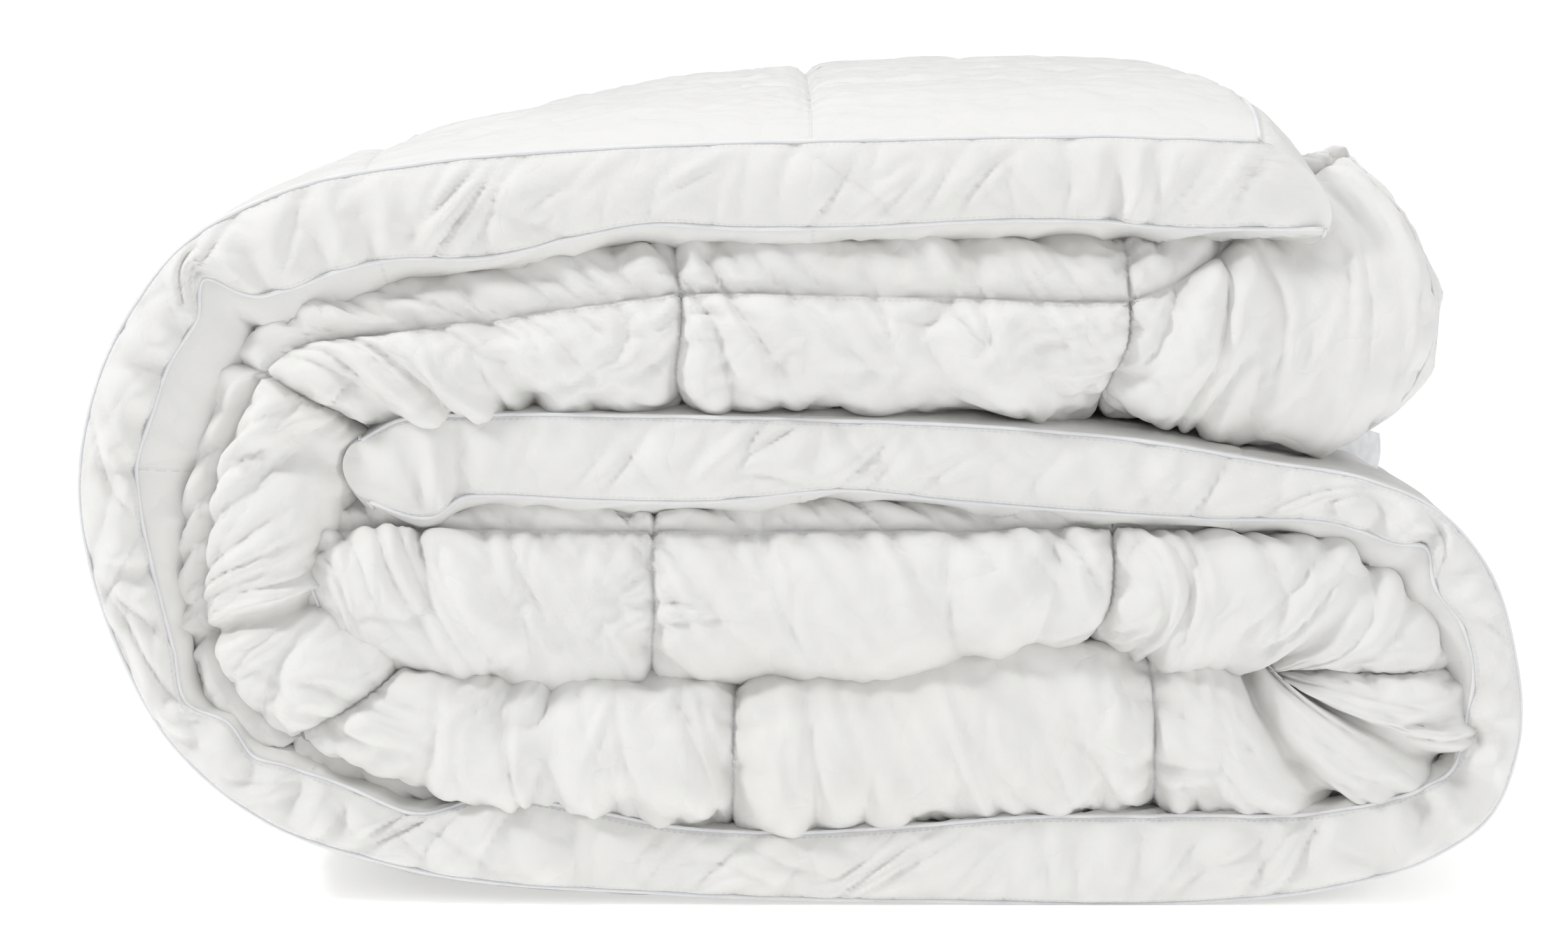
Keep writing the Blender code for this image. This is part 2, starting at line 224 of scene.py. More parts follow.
@dataclass
class RollShape:
    """The lines that the rolled duvet is drawn by, in the plane of its front."""

    # The outer piped seam, from the end inside the roll to the end on top, in millimetres.
    outer_line: tuple[tuple[int, int], ...] = (
        (-228, 244), (-212, 253), (-163, 257), (-98, 257), (-9, 255), (112, 250), (176, 244),
        (240, 233), (296, 223), (333, 206), (359, 175), (372, 135), (375, 86), (359, 45), (330, 25),
        (276, 9), (215, 2), (73, 2), (-65, 6), (-212, 21), (-281, 45), (-329, 86), (-354, 131),
        (-370, 179), (-375, 220), (-369, 261), (-350, 307), (-319, 346), (-266, 374), (-203, 387),
        (-98, 396), (32, 400), (154, 402), (237, 400),
    )  # fmt: skip
    # The inner piped seam, which wanders more because the filling pushes it about.
    inner_line: tuple[tuple[int, int], ...] = (
        (-224, 212), (-212, 207), (-171, 215), (-110, 213), (-49, 212), (28, 218), (73, 213),
        (134, 208), (215, 203), (276, 201), (312, 190), (326, 188), (330, 169), (345, 147),
        (351, 127), (348, 98), (344, 78), (324, 61), (276, 49), (194, 47), (113, 46), (52, 41),
        (-9, 38), (-65, 41), (-122, 52), (-163, 57), (-199, 48), (-236, 62), (-268, 73), (-285, 78),
        (-299, 96), (-320, 106), (-327, 135), (-337, 175), (-344, 212), (-345, 232), (-337, 257),
        (-327, 285), (-313, 307), (-305, 328), (-293, 322), (-268, 322), (-240, 332), (-212, 338),
        (-163, 339), (-114, 350), (-82, 356), (-29, 354), (32, 355), (93, 358), (154, 358),
        (215, 354), (271, 354),
    )  # fmt: skip
    stations: tuple[FoldStation, ...] = (
        FoldStation(0, (-240, 201), (-255, 169), (-235, 132), 0.3),
        FoldStation(0.3, (-203, 206), (-212, 166), (-199, 126), 0.3),
        FoldStation(0.6, (-151, 211), (-151, 161), (-138, 117), 0.33),
        FoldStation(1, (-76, 210), (-77, 163), (-77, 119), 0.35),
        FoldStation(1.5, (44, 211), (42, 161), (36, 126), 0.33),
        FoldStation(2, (164, 204), (163, 165), (144, 140), 0.25),
        FoldStation(2.4, (231, 199), (225, 159), (194, 134), 0.15),
        FoldStation(2.7, (296, 188), (276, 151), (229, 130), 0.1),
        FoldStation(3, (346, 120), (300, 123), (240, 127), 0.1),
        FoldStation(3.35, (344, 72), (300, 90), (240, 123), 0.1),
        FoldStation(3.65, (286, 50), (257, 80), (231, 123), 0.1),
        FoldStation(4, (187, 49), (185, 88), (180, 133), 0.08),
        FoldStation(4.5, (77, 45), (75, 84), (71, 130), 0.04),
        FoldStation(5, (-34, 40), (-35, 76), (-33, 114), 0.03),
        FoldStation(5.5, (-134, 54), (-128, 80), (-120, 114), 0.05),
        FoldStation(5.8, (-207, 58), (-183, 86), (-161, 116), 0.25),
        FoldStation(6, (-272, 83), (-236, 104), (-201, 127), 0.3),
        FoldStation(6.35, (-318, 133), (-283, 147), (-247, 157), 0.4),
        FoldStation(6.7, (-318, 192), (-284, 192), (-249, 192), 0.4),
        FoldStation(6.85, (-310, 238), (-276, 232), (-236, 234), 0.4),
        FoldStation(7, (-293, 284), (-263, 271), (-232, 253), 0.6),
        FoldStation(7.3, (-240, 311), (-207, 289), (-187, 257), 0.7),
        FoldStation(7.6, (-171, 332), (-151, 297), (-138, 264), 0.76),
        FoldStation(8, (-65, 345), (-63, 301), (-62, 263), 0.6),
        FoldStation(8.5, (52, 348), (52, 305), (48, 269), 0.72),
        FoldStation(9, (168, 348), (169, 301), (157, 266), 0.7),
        FoldStation(9.5, (239, 364), (257, 309), (227, 251), 0.1),
        FoldStation(9.8, (274, 384), (310, 314), (272, 244), 0.05),
        FoldStation(10, (290, 387), (331, 309), (294, 246), 0.02),
    )
    fine: int = 4000
    normal_reach: float = 0.13
    # The least step in rows from one point of the inner line to the next.
    least_step: float = 0.03
    # How far the free edge at the back slips out past the roll's ends, and from which rows.
    start_slip: float = 0.012
    start_slip_to: float = 1.2
    end_slip: float = 0.060
    end_slip_from: float = 8.4

    def __post_init__(self) -> None:
        """Works out the smooth lines once."""
        places = np.linspace(0, ROWS, self.fine)
        self.places = places
        points = np.array(self.outer_line, float) * MM
        keys = run_lengths(points)
        rough = through(keys, points, np.linspace(0, keys[-1], self.fine))
        lengths = run_lengths(rough)
        self.row_length = float(lengths[-1]) / ROWS
        even = lengths / lengths[-1] * ROWS
        self.outer = np.stack([np.interp(places, even, rough[:, i]) for i in (0, 1)], 1)
        ahead = self.at(self.outer, places + self.normal_reach)
        behind = self.at(self.outer, places - self.normal_reach)
        along = unit(ahead - behind)
        self.outward = np.stack([-along[:, 1], along[:, 0]], 1)
        inner = np.array(self.inner_line, float) * MM
        self.inner = through(self.partner_rows(inner), inner, places)

    def at(self, line: Points, rows: Points) -> Points:
        """Reads one of the fine lines at row numbers."""
        return np.stack([np.interp(rows, self.places, line[:, i]) for i in (0, 1)], -1)

    def along(self, rows: Points) -> Points:
        """The length along the outer line up to row numbers, as a column."""
        return (rows * self.row_length)[:, None]

    def to_cross_seam(self, rows: Points) -> Points:
        """How far row numbers are from their nearest cross seam, as a column."""
        return np.abs(rows - np.round(rows))[:, None] * self.row_length

    def partner_rows(self, points: Points) -> Points:
        """Finds the rows of the outer line's points that lie nearest to the inner line's, kept rising.

        Args:
            points: The inner line's points.

        Returns:
            One row number for each of them.
        """
        gaps = np.linalg.norm(self.outer[None] - points[:, None], axis=2)
        found = self.places[gaps.argmin(axis=1)]
        found[0], found[-1] = 0, ROWS
        least = self.least_step * np.arange(len(found))
        rising = np.maximum.accumulate(found - least) + least
        return rising / rising[-1] * ROWS

    def back_edge(self, rows: Points, inset: float) -> Points:
        """Draws the inner layers' free edge at the back, which slips out past both ends of the roll.

        Args:
            rows: The row numbers to draw it at.
            inset: How far it lies inside the outer line.

        Returns:
            One point for each row.
        """
        outward = self.at(self.outward, rows)
        along = np.stack([outward[:, 1], -outward[:, 0]], 1)
        slip = self.end_slip * eased((rows - self.end_slip_from) / (ROWS - self.end_slip_from))
        slip -= self.start_slip * eased((self.start_slip_to - rows) / self.start_slip_to)
        line = self.at(self.outer, rows) - outward * inset + along * slip[:, None]
        return at_depth(line, BACK - BACK_EDGE_INSET)

    def fold_lines(self, rows: Points) -> tuple[Points, Points, Points, Points]:
        """Reads the fold's lines.

        Args:
            rows: The row numbers to read them at.

        Returns:
            The fold's outer side, tip and inner side, and how far down it the long seam lies.
        """
        keys = [s.row for s in self.stations]
        read = [
            through(keys, np.array([getattr(s, side) for s in self.stations], float) * MM, rows)
            for side in ("outer", "tip", "inner")
        ]
        share = np.interp(rows, keys, [s.seam_share for s in self.stations])
        return read[0], read[1], read[2], share


def rounded(start: Points, corner: Points, end: Points, shares: Points) -> Points:
    """Draws curves that leave each start towards its corner.

    Args:
        start: Where each curve starts.
        corner: The point it heads for at first.
        end: Where it ends.
        shares: How far along it its points lie, from 0 to 1.

    Returns:
        An array of (rows, shares, 3).
    """
    share = np.asarray(shares)[None, :, None]
    start, corner, end = (p[:, None, :] for p in (start, corner, end))
    return (1 - share) ** 2 * start + 2 * share * (1 - share) * corner + share**2 * end


def at_depth(flat: Points, depth: Points | float) -> Points:
    """Points of the front's plane moved to a depth: x and z are kept, and y is the depth."""
    depth = np.broadcast_to(depth, flat.shape[:-1])
    return np.stack([flat[..., 0], depth, flat[..., 1]], -1)


def flat_end(lengths: Points, depth: Points) -> float:
    """The length at which a folded width comes forward again after its back fold."""
    back = int(depth.argmax())
    return float(lengths[back:][depth[back:] < BACK - LAYER][0])


def grid_normals(points: Points) -> Points:
    """The unit normals of a grid of points, on the side that its rows and columns turn round."""
    return unit(np.cross(np.gradient(points, axis=0), np.gradient(points, axis=1)))


@dataclass(frozen=True)
class Fabric:
    """How a cloth behaves in the simulation: its springs, and how far a point may move in metres."""

    steps: int = 50
    damping: float = 0.90
    stretch: float = 0.9
    shear: float = 0.35
    bend: float = 0.05
    most_move: float = 0.006


class ClothSimulation:
    """Position-based dynamics on a grid: springs along both ways, across the diagonals and over two cells."""

    def __init__(
        self, start: Points, pinned: Points, slack_down: Points, slack_across: Points, fabric: Fabric
    ) -> None:
        """Sets the cloth's own lengths.

        Args:
            start: The grid's points, an array of (rows, columns, 3).
            pinned: How firmly each point is held, from 0 to 1.
            slack_down: How much longer the cloth is than the grid from row to row.
            slack_across: How much longer it is from column to column.
            fabric: The cloth's behaviour.
        """
        self.start = start.astype(np.float32)
        self.points = self.start.copy()
        self.pinned = pinned.astype(np.float32)[..., None]
        self.free = 1 - self.pinned
        self.fabric = fabric
        self.springs = []
        slack = np.stack([slack_down, slack_across], -1)
        for step, kind in (
            ((1, 0), fabric.stretch), ((0, 1), fabric.stretch), ((1, 1), fabric.shear),
            ((1, -1), fabric.shear), ((2, 0), fabric.bend), ((0, 2), fabric.bend),
        ):  # fmt: skip
            self.add_springs(step, kind, slack)

    def add_springs(self, step: tuple[int, int], stiffness: float, slack: Points) -> None:
        """Adds the springs from every point to the one a step away, in groups that share no point.

        Args:
            step: How many rows and columns away that is.
            stiffness: How firmly the springs pull.
            slack: How much longer the cloth is than the grid, both ways, at each point.
        """
        rows, columns = self.start.shape[:2]
        down, across = step
        reach = max(down, abs(across))
        by_row = down > 0
        for group in range(2):
            for part in range(reach):
                first = group * reach + part
                stride = 2 * reach
                if by_row:
                    count = len(range(first, rows - down, stride))
                    low = first + down
                    columns_a = slice(max(0, -across), columns - max(0, across))
                    columns_b = slice(max(0, across), columns - max(0, -across))
                    ends_a = (slice(first, rows - down, stride), columns_a)
                    ends_b = (slice(low, low + (count - 1) * stride + 1, stride), columns_b)
                else:
                    count = len(range(first, columns - across, stride))
                    ends_a = (slice(None), slice(first, columns - across, stride))
                    low = first + across
                    ends_b = (slice(None), slice(low, low + (count - 1) * stride + 1, stride))
                if count < 1:
                    continue
                between_ends = self.start[ends_b] - self.start[ends_a]
                local = (slack[ends_a] + slack[ends_b]) / 2
                share_down = down**2 / (down**2 + across**2)
                longer = 1 + share_down * local[..., 0] + (1 - share_down) * local[..., 1]
                rest = (np.linalg.norm(between_ends, axis=-1) * longer)[..., None].astype(np.float32)
                give_a, give_b = self.free[ends_a], self.free[ends_b]
                total = np.maximum(give_a + give_b, 1e-3)
                pull_a, pull_b = stiffness * give_a / total, stiffness * give_b / total
                self.springs.append((ends_a, ends_b, rest, pull_a, pull_b))

    def ruffle(self, normals: Points, heights: Points) -> None:
        """Moves the free points off the grid, which gives the springs a side to buckle to."""
        self.points += (normals * heights[..., None]).astype(np.float32) * self.free

    def relax(self) -> None:
        """Brings every spring nearer to its own length, one group after another."""
        points = self.points
        for ends_a, ends_b, rest, pull_a, pull_b in self.springs:
            gap = points[ends_b] - points[ends_a]
            length = np.sqrt(np.einsum("...i,...i->...", gap, gap))[..., None] + 1e-9
            move = gap * ((length - rest) / length)
            points[ends_a] += move * pull_a
            points[ends_b] -= move * pull_b

    def run(self, floor: float | None = None) -> Points:
        """Runs the simulation.

        Args:
            floor: A height that the cloth stays above, if there is one.

        Returns:
            The grid's points at its end.
        """
        fabric = self.fabric
        before = self.points.copy()
        for _ in range(fabric.steps):
            speed = (self.points - before) * fabric.damping
            before = self.points.copy()
            self.points += speed * self.free
            self.relax()
            moved = self.points - self.start
            far = np.linalg.norm(moved, axis=-1, keepdims=True)
            moved *= np.minimum(1, fabric.most_move / np.maximum(far, 1e-9))
            self.points = self.start + moved
            if floor is not None:
                self.points[..., 2] = np.maximum(self.points[..., 2], floor)
        return self.points.astype(float)


class Socket:
    """A node's output, so that shader maths can be written with Python's operators."""

    def __init__(self, tree: "ShaderTree", output: bpy.types.NodeSocket) -> None:
        """Wraps an output of a tree's node."""
        self.tree = tree
        self.output = output

    def _math(self, operation: str, *values: "Socket | float") -> "Socket":
        """A Math node on these values."""
        return self.tree.node("ShaderNodeMath", {"operation": operation}, dict(enumerate(values)))

    def __add__(self, other: "Socket | float") -> "Socket":
        """The sum."""
        return self._math("ADD", self, other)

    __radd__ = __add__

    def __mul__(self, other: "Socket | float") -> "Socket":
        """The product."""
        return self._math("MULTIPLY", self, other)

    __rmul__ = __mul__

    def __sub__(self, other: "Socket | float") -> "Socket":
        """The difference."""
        return self._math("SUBTRACT", self, other)

    def __rsub__(self, other: float) -> "Socket":
        """A number less this."""
        return self._math("SUBTRACT", other, self)

    def __pow__(self, other: float) -> "Socket":
        """This raised to a power."""
        return self._math("POWER", self, other)

    def below(self, limit: float) -> "Socket":
        """1 where this is below a limit, and else 0."""
        return self._math("LESS_THAN", self, limit)

    def fraction(self) -> "Socket":
        """The part after the decimal point."""
        return self._math("FRACT", self)

    def sine(self) -> "Socket":
        """The sine of this."""
        return self._math("SINE", self)

    def absolute(self) -> "Socket":
        """This without its sign."""
        return self._math("ABSOLUTE", self)

    def ramped(self, low: float, high: float, start: float = 0.0, end: float = 1.0) -> "Socket":
        """This eased from start at low to end at high."""
        inputs = {"Value": self, "From Min": low, "From Max": high, "To Min": start, "To Max": end}
        return self.tree.node("ShaderNodeMapRange", {"interpolation_type": "SMOOTHSTEP"}, inputs)


@dataclass(frozen=True)
class Grain:
    """One scale of noise in a finish, and how deep it dents the surface in metres."""

    scale: float
    depth: float = 0.0
    detail: float = 3.0
    roughness: float = 0.5


class ShaderTree:
    """A material's node tree, with one method that makes any node."""

    def __init__(self, name: str) -> None:
        """Starts a material that has only its Principled shader and its output.

        Args:
            name: The material's name.
        """
        self.material = bpy.data.materials.new(name)
        self.material.use_nodes = True
        self.nodes = self.material.node_tree.nodes
        self.links = self.material.node_tree.links
        self.shader = self.nodes["Principled BSDF"]

    def node(
        self, kind: str, settings: dict | None = None, inputs: dict | None = None, output: str | int = 0
    ) -> Socket:
        """Makes a node.

        Args:
            kind: The node's type.
            settings: Its settings, set before its sockets.
            inputs: Values or links by the sockets' names or numbers.
            output: The name or number of the output wanted.

        Returns:
            That output.
        """
        made = self.nodes.new(kind)
        for key, value in (settings or {}).items():
            setattr(made, key, value)
        for key, value in (inputs or {}).items():
            self.feed(made.inputs[key], value)
        return Socket(self, made.outputs[output])

    def feed(self, socket: bpy.types.NodeSocket, value: "Socket | float | tuple") -> None:
        """Links a socket, or sets its value.

        Args:
            socket: An input of a node.
            value: The output to link to it, or its own value.
        """
        if isinstance(value, Socket):
            self.links.new(value.output, socket)
        else:
            socket.default_value = value

    def mix(self, share: Socket, first: tuple | Socket, second: tuple | Socket) -> Socket:
        """A mix of two colours."""
        inputs = {0: share, 6: first, 7: second}
        return self.node("ShaderNodeMix", {"data_type": "RGBA"}, inputs, 2)

    def attribute(self, name: str) -> Socket:
        """A number stored on the mesh."""
        return self.node("ShaderNodeAttribute", {"attribute_name": name}, {}, "Fac")

    def noise(self, place: Socket, grain: Grain) -> Socket:
        """Noise from 0 to 1."""
        inputs = {"Vector": place, "Scale": grain.scale, "Detail": grain.detail, "Roughness": grain.roughness}
        return self.node("ShaderNodeTexNoise", {}, inputs)

    def bump(self, strength: float, height: Socket) -> Socket:
        """A surface direction dented by a height in metres."""
        return self.node("ShaderNodeBump", {}, {"Strength": strength, "Distance": 1.0, "Height": height})

    def surface(self, **values: "Socket | float | tuple") -> None:
        """Sets the Principled shader's sockets, named with underscores for spaces."""
        for key, value in values.items():
            self.feed(self.shader.inputs[key.replace("_", " ")], value)


@dataclass(frozen=True)
class CottonFinish:
    """Bleached downproof cotton: a close plain weave, a soft sheen, fine creases and stitched seams, with
    shade painted along the seams and their stitches.
    """

    name: str = "percale"
    light: tuple[float, float, float] = (0.715, 0.710, 0.694)
    shade: tuple[float, float, float] = (0.690, 0.681, 0.655)
    weave_width: float = 0.00045
    weave_depth: float = 0.00002
    crinkle: Grain = Grain(75.0, 0.0010, 4.0, 0.55)
    crease: Grain = Grain(24.0, 0.0050, 2.0, 0.45)
    crease_sharpness: float = 0.8
    fine: Grain = Grain(420.0, 0.00016, 3.0, 0.6)
    cloud: Grain = Grain(9.0, detail=2.0)
    bump_strength: float = 0.7
    # The stitches' bluish grey, darker than the cloth: painted shade for the seam's shadow line, laid on the
    # real stitch dashes.
    stitch_shade_tint: tuple[float, float, float] = (0.66, 0.665, 0.69)
    stitch_shade_share: float = 0.55
    stitch_length: float = 0.0034
    stitch_share: float = 0.62
    stitch_width: float = 0.0009
    seam_dent: float = 0.0003
    # How far the seam's dent reaches, which is also how far the painted shade along the seam reaches.
    groove_and_shade_reach: float = 0.0022
    roughness: float = 0.82
    roughness_spread: float = 0.1
    sheen: float = 0.25

    def build(self) -> bpy.types.Material:
        """Builds the material.

        Returns:
            The material, which reads the attributes to_seam and along_seam and the map Cloth.
        """
        tree = ShaderTree(self.name)
        cut = tree.node("ShaderNodeUVMap", {"uv_map": "Cloth"})
        place = tree.node("ShaderNodeTexCoord", {}, {}, "Object")
        along, across = (tree.node("ShaderNodeSeparateXYZ", {}, {0: cut}, axis) for axis in "XY")
        turn = 2 * math.pi / self.weave_width
        weave = (along * turn).sine() * (across * turn).sine()
        crinkle = tree.noise(place, self.crinkle)
        fine = tree.noise(place, self.fine)
        crease = (tree.noise(place, self.crease) - 0.5).absolute() ** self.crease_sharpness
        to_seam = tree.attribute("to_seam")
        stitches = (tree.attribute("along_seam") * (1 / self.stitch_length)).fraction()
        on_seam = to_seam.ramped(self.stitch_width * 0.5, self.stitch_width, 1.0, 0.0)
        # Dashes of stitches along each seam: raised as real thread in the bump, and tinted with painted seam
        # shade in the colour.
        stitch_and_shade_line = on_seam * stitches.below(self.stitch_share)
        # 1 on a seam, falling to 0 at its reach: it dents the surface, and it also paints shade into the
        #                                         seam's groove.
        groove_and_painted_shade = to_seam.ramped(0.0, self.groove_and_shade_reach, 1.0, 0.0)
        height = (
            weave * self.weave_depth
            + crinkle * self.crinkle.depth
            + crease * self.crease.depth
            + fine * self.fine.depth
            - groove_and_painted_shade * self.seam_dent
            + stitch_and_shade_line * (self.stitch_width * 0.5)
        )
        # A random tone from the cloud and crinkle noise, plus painted shade that darkens the cloth towards
        # each seam.
        tone_and_painted_shade = tree.noise(place, self.cloud) * 0.6 + crinkle * 0.25 + groove_and_painted_shade * 0.15
        colour = tree.mix(tone_and_painted_shade.ramped(0.25, 1.1), (*self.light, 1), (*self.shade, 1))
        tree.surface(
            Base_Color=tree.mix(stitch_and_shade_line * self.stitch_shade_share, colour, (*self.stitch_shade_tint, 1)),
            Roughness=self.roughness + (fine - 0.5) * self.roughness_spread,
            Normal=tree.bump(self.bump_strength, height),
            Sheen_Weight=self.sheen,
            Sheen_Roughness=0.5,
            Specular_IOR_Level=0.25,
        )
        return tree.material


@dataclass(frozen=True)
class PipingFinish:
    """The same cotton, pulled smooth over a cord."""

    name: str = "piping_cover"
    colour: tuple[float, float, float] = (0.735, 0.735, 0.735)
    shade: tuple[float, float, float] = (0.665, 0.675, 0.695)
    fine: Grain = Grain(700.0, 0.0002)
    wide: Grain = Grain(60.0, detail=2.0)
    bump_strength: float = 0.5
    roughness: float = 0.75
    roughness_spread: float = 0.1
    sheen: float = 0.2

    def build(self) -> bpy.types.Material:
        """Builds the material.

        Returns:
            The material.
        """
        tree = ShaderTree(self.name)
        place = tree.node("ShaderNodeTexCoord", {}, {}, "Object")
        fine = tree.noise(place, self.fine)
        wide = tree.noise(place, self.wide)
        tree.surface(
            Base_Color=tree.mix(wide.ramped(0.3, 0.8), (*self.colour, 1), (*self.shade, 1)),
            Roughness=self.roughness + (wide - 0.5) * self.roughness_spread,
            Normal=tree.bump(self.bump_strength, fine * self.fine.depth),
            Sheen_Weight=self.sheen,
        )
        return tree.material


@dataclass(frozen=True)
class SatinFinish:
    """Woven polyester satin with fine ribs along it and a soft gloss."""

    name: str = "label_ribbon"
    colour: tuple[float, float, float] = (0.78, 0.79, 0.80)
    shade: tuple[float, float, float] = (0.70, 0.71, 0.73)
    rib_width: float = 0.0006
    rib_depth: float = 0.00004
    cloud: Grain = Grain(180.0)
    bump_strength: float = 0.4
    roughness: float = 0.38
    roughness_spread: float = 0.1
    sheen: float = 0.1

    def build(self) -> bpy.types.Material:
        """Builds the material.

        Returns:
            The material, which reads the map Cloth.
        """
        tree = ShaderTree(self.name)
        cut = tree.node("ShaderNodeUVMap", {"uv_map": "Cloth"})
        down = tree.node("ShaderNodeSeparateXYZ", {}, {0: cut})
        rib = (down * (2 * math.pi / self.rib_width)).sine()
        cloud = tree.noise(tree.node("ShaderNodeTexCoord", {}, {}, "Object"), self.cloud)
        tree.surface(
            Base_Color=tree.mix(cloud.ramped(0.3, 0.7), (*self.colour, 1), (*self.shade, 1)),
            Roughness=self.roughness + (cloud - 0.5) * self.roughness_spread,
            Normal=tree.bump(self.bump_strength, rib * self.rib_depth),
            Sheen_Weight=self.sheen,
        )
        return tree.material


def placed(name: str, data: bpy.types.ID) -> bpy.types.Object:
    """Puts an object into the scene.

    Args:
        name: Its name.
        data: Its mesh, lamp or camera.

    Returns:
        The object.
    """
    made = bpy.data.objects.new(name, data)
    bpy.context.scene.collection.objects.link(made)
    return made


@dataclass
class GridCloth:
    """A grid of points that becomes one piece of cloth."""

    name: str
    points: Points
    rows: Points
    across: Points
    to_seam: Points
    along_seam: Points
    folds: tuple[int, ...] = ()

    def edge(self, row: int, counts: tuple[int, ...]) -> Points:
        """Reads the cloth's edge along its first or last row.

        Args:
            row: 0 or -1.
            counts: The number of even steps from each fold to the next.

        Returns:
            The edge's points.
        """
        line = self.points[row]
        runs = run_lengths(line)
        spaced = [steps(runs[a], runs[b], n) for a, b, n in zip(self.folds, self.folds[1:], counts)]
        at = np.concatenate([[0.0], *spaced])
        return np.stack([np.interp(at, runs, line[:, i]) for i in range(3)], 1)

    def far_edge(self, rows: Points) -> Points:
        """The cloth's last column, read at row numbers."""
        own = np.linspace(0, ROWS, len(self.points))
        return np.stack([np.interp(rows, own, self.points[:, -1, i]) for i in range(3)], 1)

    def build(self, finish: bpy.types.Material) -> bpy.types.Object:
        """Makes the mesh object, with its cut map and its seam distances.

        Args:
            finish: The cloth's material.

        Returns:
            The object.
        """
        down, wide = self.points.shape[:2]
        number = np.arange(down * wide).reshape(down, wide)
        quads = np.stack([number[:-1, :-1], number[1:, :-1], number[1:, 1:], number[:-1, 1:]], -1)
        quads = quads.reshape(-1, 4)
        mesh = bpy.data.meshes.new(self.name)
        mesh.vertices.add(down * wide)
        mesh.vertices.foreach_set("co", self.points.reshape(-1).astype(np.float32))
        mesh.loops.add(quads.size)
        mesh.loops.foreach_set("vertex_index", quads.reshape(-1).astype(np.int32))
        mesh.polygons.add(len(quads))
        mesh.polygons.foreach_set("loop_start", np.arange(0, quads.size, 4, dtype=np.int32))
        mesh.update(calc_edges=True)
        cut = np.stack(np.broadcast_arrays(self.rows[:, None], self.across[None, :]), -1).reshape(-1, 2)
        corners = cut[quads.reshape(-1)].reshape(-1).astype(np.float32)
        mesh.uv_layers.new(name="Cloth")
        mesh.uv_layers["Cloth"].uv.foreach_set("vector", corners)
        for key, values in (("to_seam", self.to_seam), ("along_seam", self.along_seam)):
            stored = mesh.attributes.new(key, "FLOAT", "POINT")
            stored.data.foreach_set("value", values.reshape(-1).astype(np.float32))
        mesh.shade_smooth()
        mesh.materials.append(finish)
        return placed(self.name, mesh)


class Side(Enum):
    """The two faces of the duvet."""

    OUTER = "outer"
    INNER = "inner"


def pillow(rows: Points, steep: float = 4.0, sharp: float = 0.55) -> Points:
    """The puff of a box over one of its ways: 0 at whole numbers, where its seams are, and 1 between them."""
    off = np.abs(2 * (rows % 1) - 1)
    return np.maximum(1 - off**steep, 0) ** sharp


def seam_fields(
    rows: Points, long_seams: list[int], lengths: Points, row_length: float
) -> tuple[Points, Points]:
    """Measures how far each point of a cloth is from its nearest seam, and how far along that seam it is.

    Args:
        rows: The grid's row numbers.
        long_seams: The columns that the lengthwise seams follow.
        lengths: The place of each column over the width, in metres.
        row_length: The length of a row in metres.

    Returns:
        The distances and the places along the seams.
    """
    to_cross = np.abs(rows - np.round(rows))[:, None] * row_length + 0 * lengths[None, :]
    to_cross[np.round(rows) % ROWS == 0] = FAR
    to_long = np.full((len(rows), len(lengths)), FAR)
    for column in long_seams:
        to_long = np.minimum(to_long, np.abs(lengths - lengths[column])[None, :])
    along = np.where(to_cross < to_long, lengths[None, :], (rows * row_length)[:, None])
    return np.minimum(to_cross, to_long), along


@dataclass(frozen=True)
class SeamHold:
    """How a cloth is held along its seams, and how much spare cloth is gathered beside them, in metres."""

    width: float
    firmness: float
    reach: float
    spare: float
    spare_down: float
    spare_across: float

    def held(self, to_seam: Points) -> Points:
        """How firmly each point is held, from 0 to 1."""
        return (to_seam < self.width) * self.firmness

    def near(self, to_seam: Points) -> Points:
        """How close each point is to a seam: 1 on it, and less the further off."""
        return np.exp(-to_seam / self.reach)


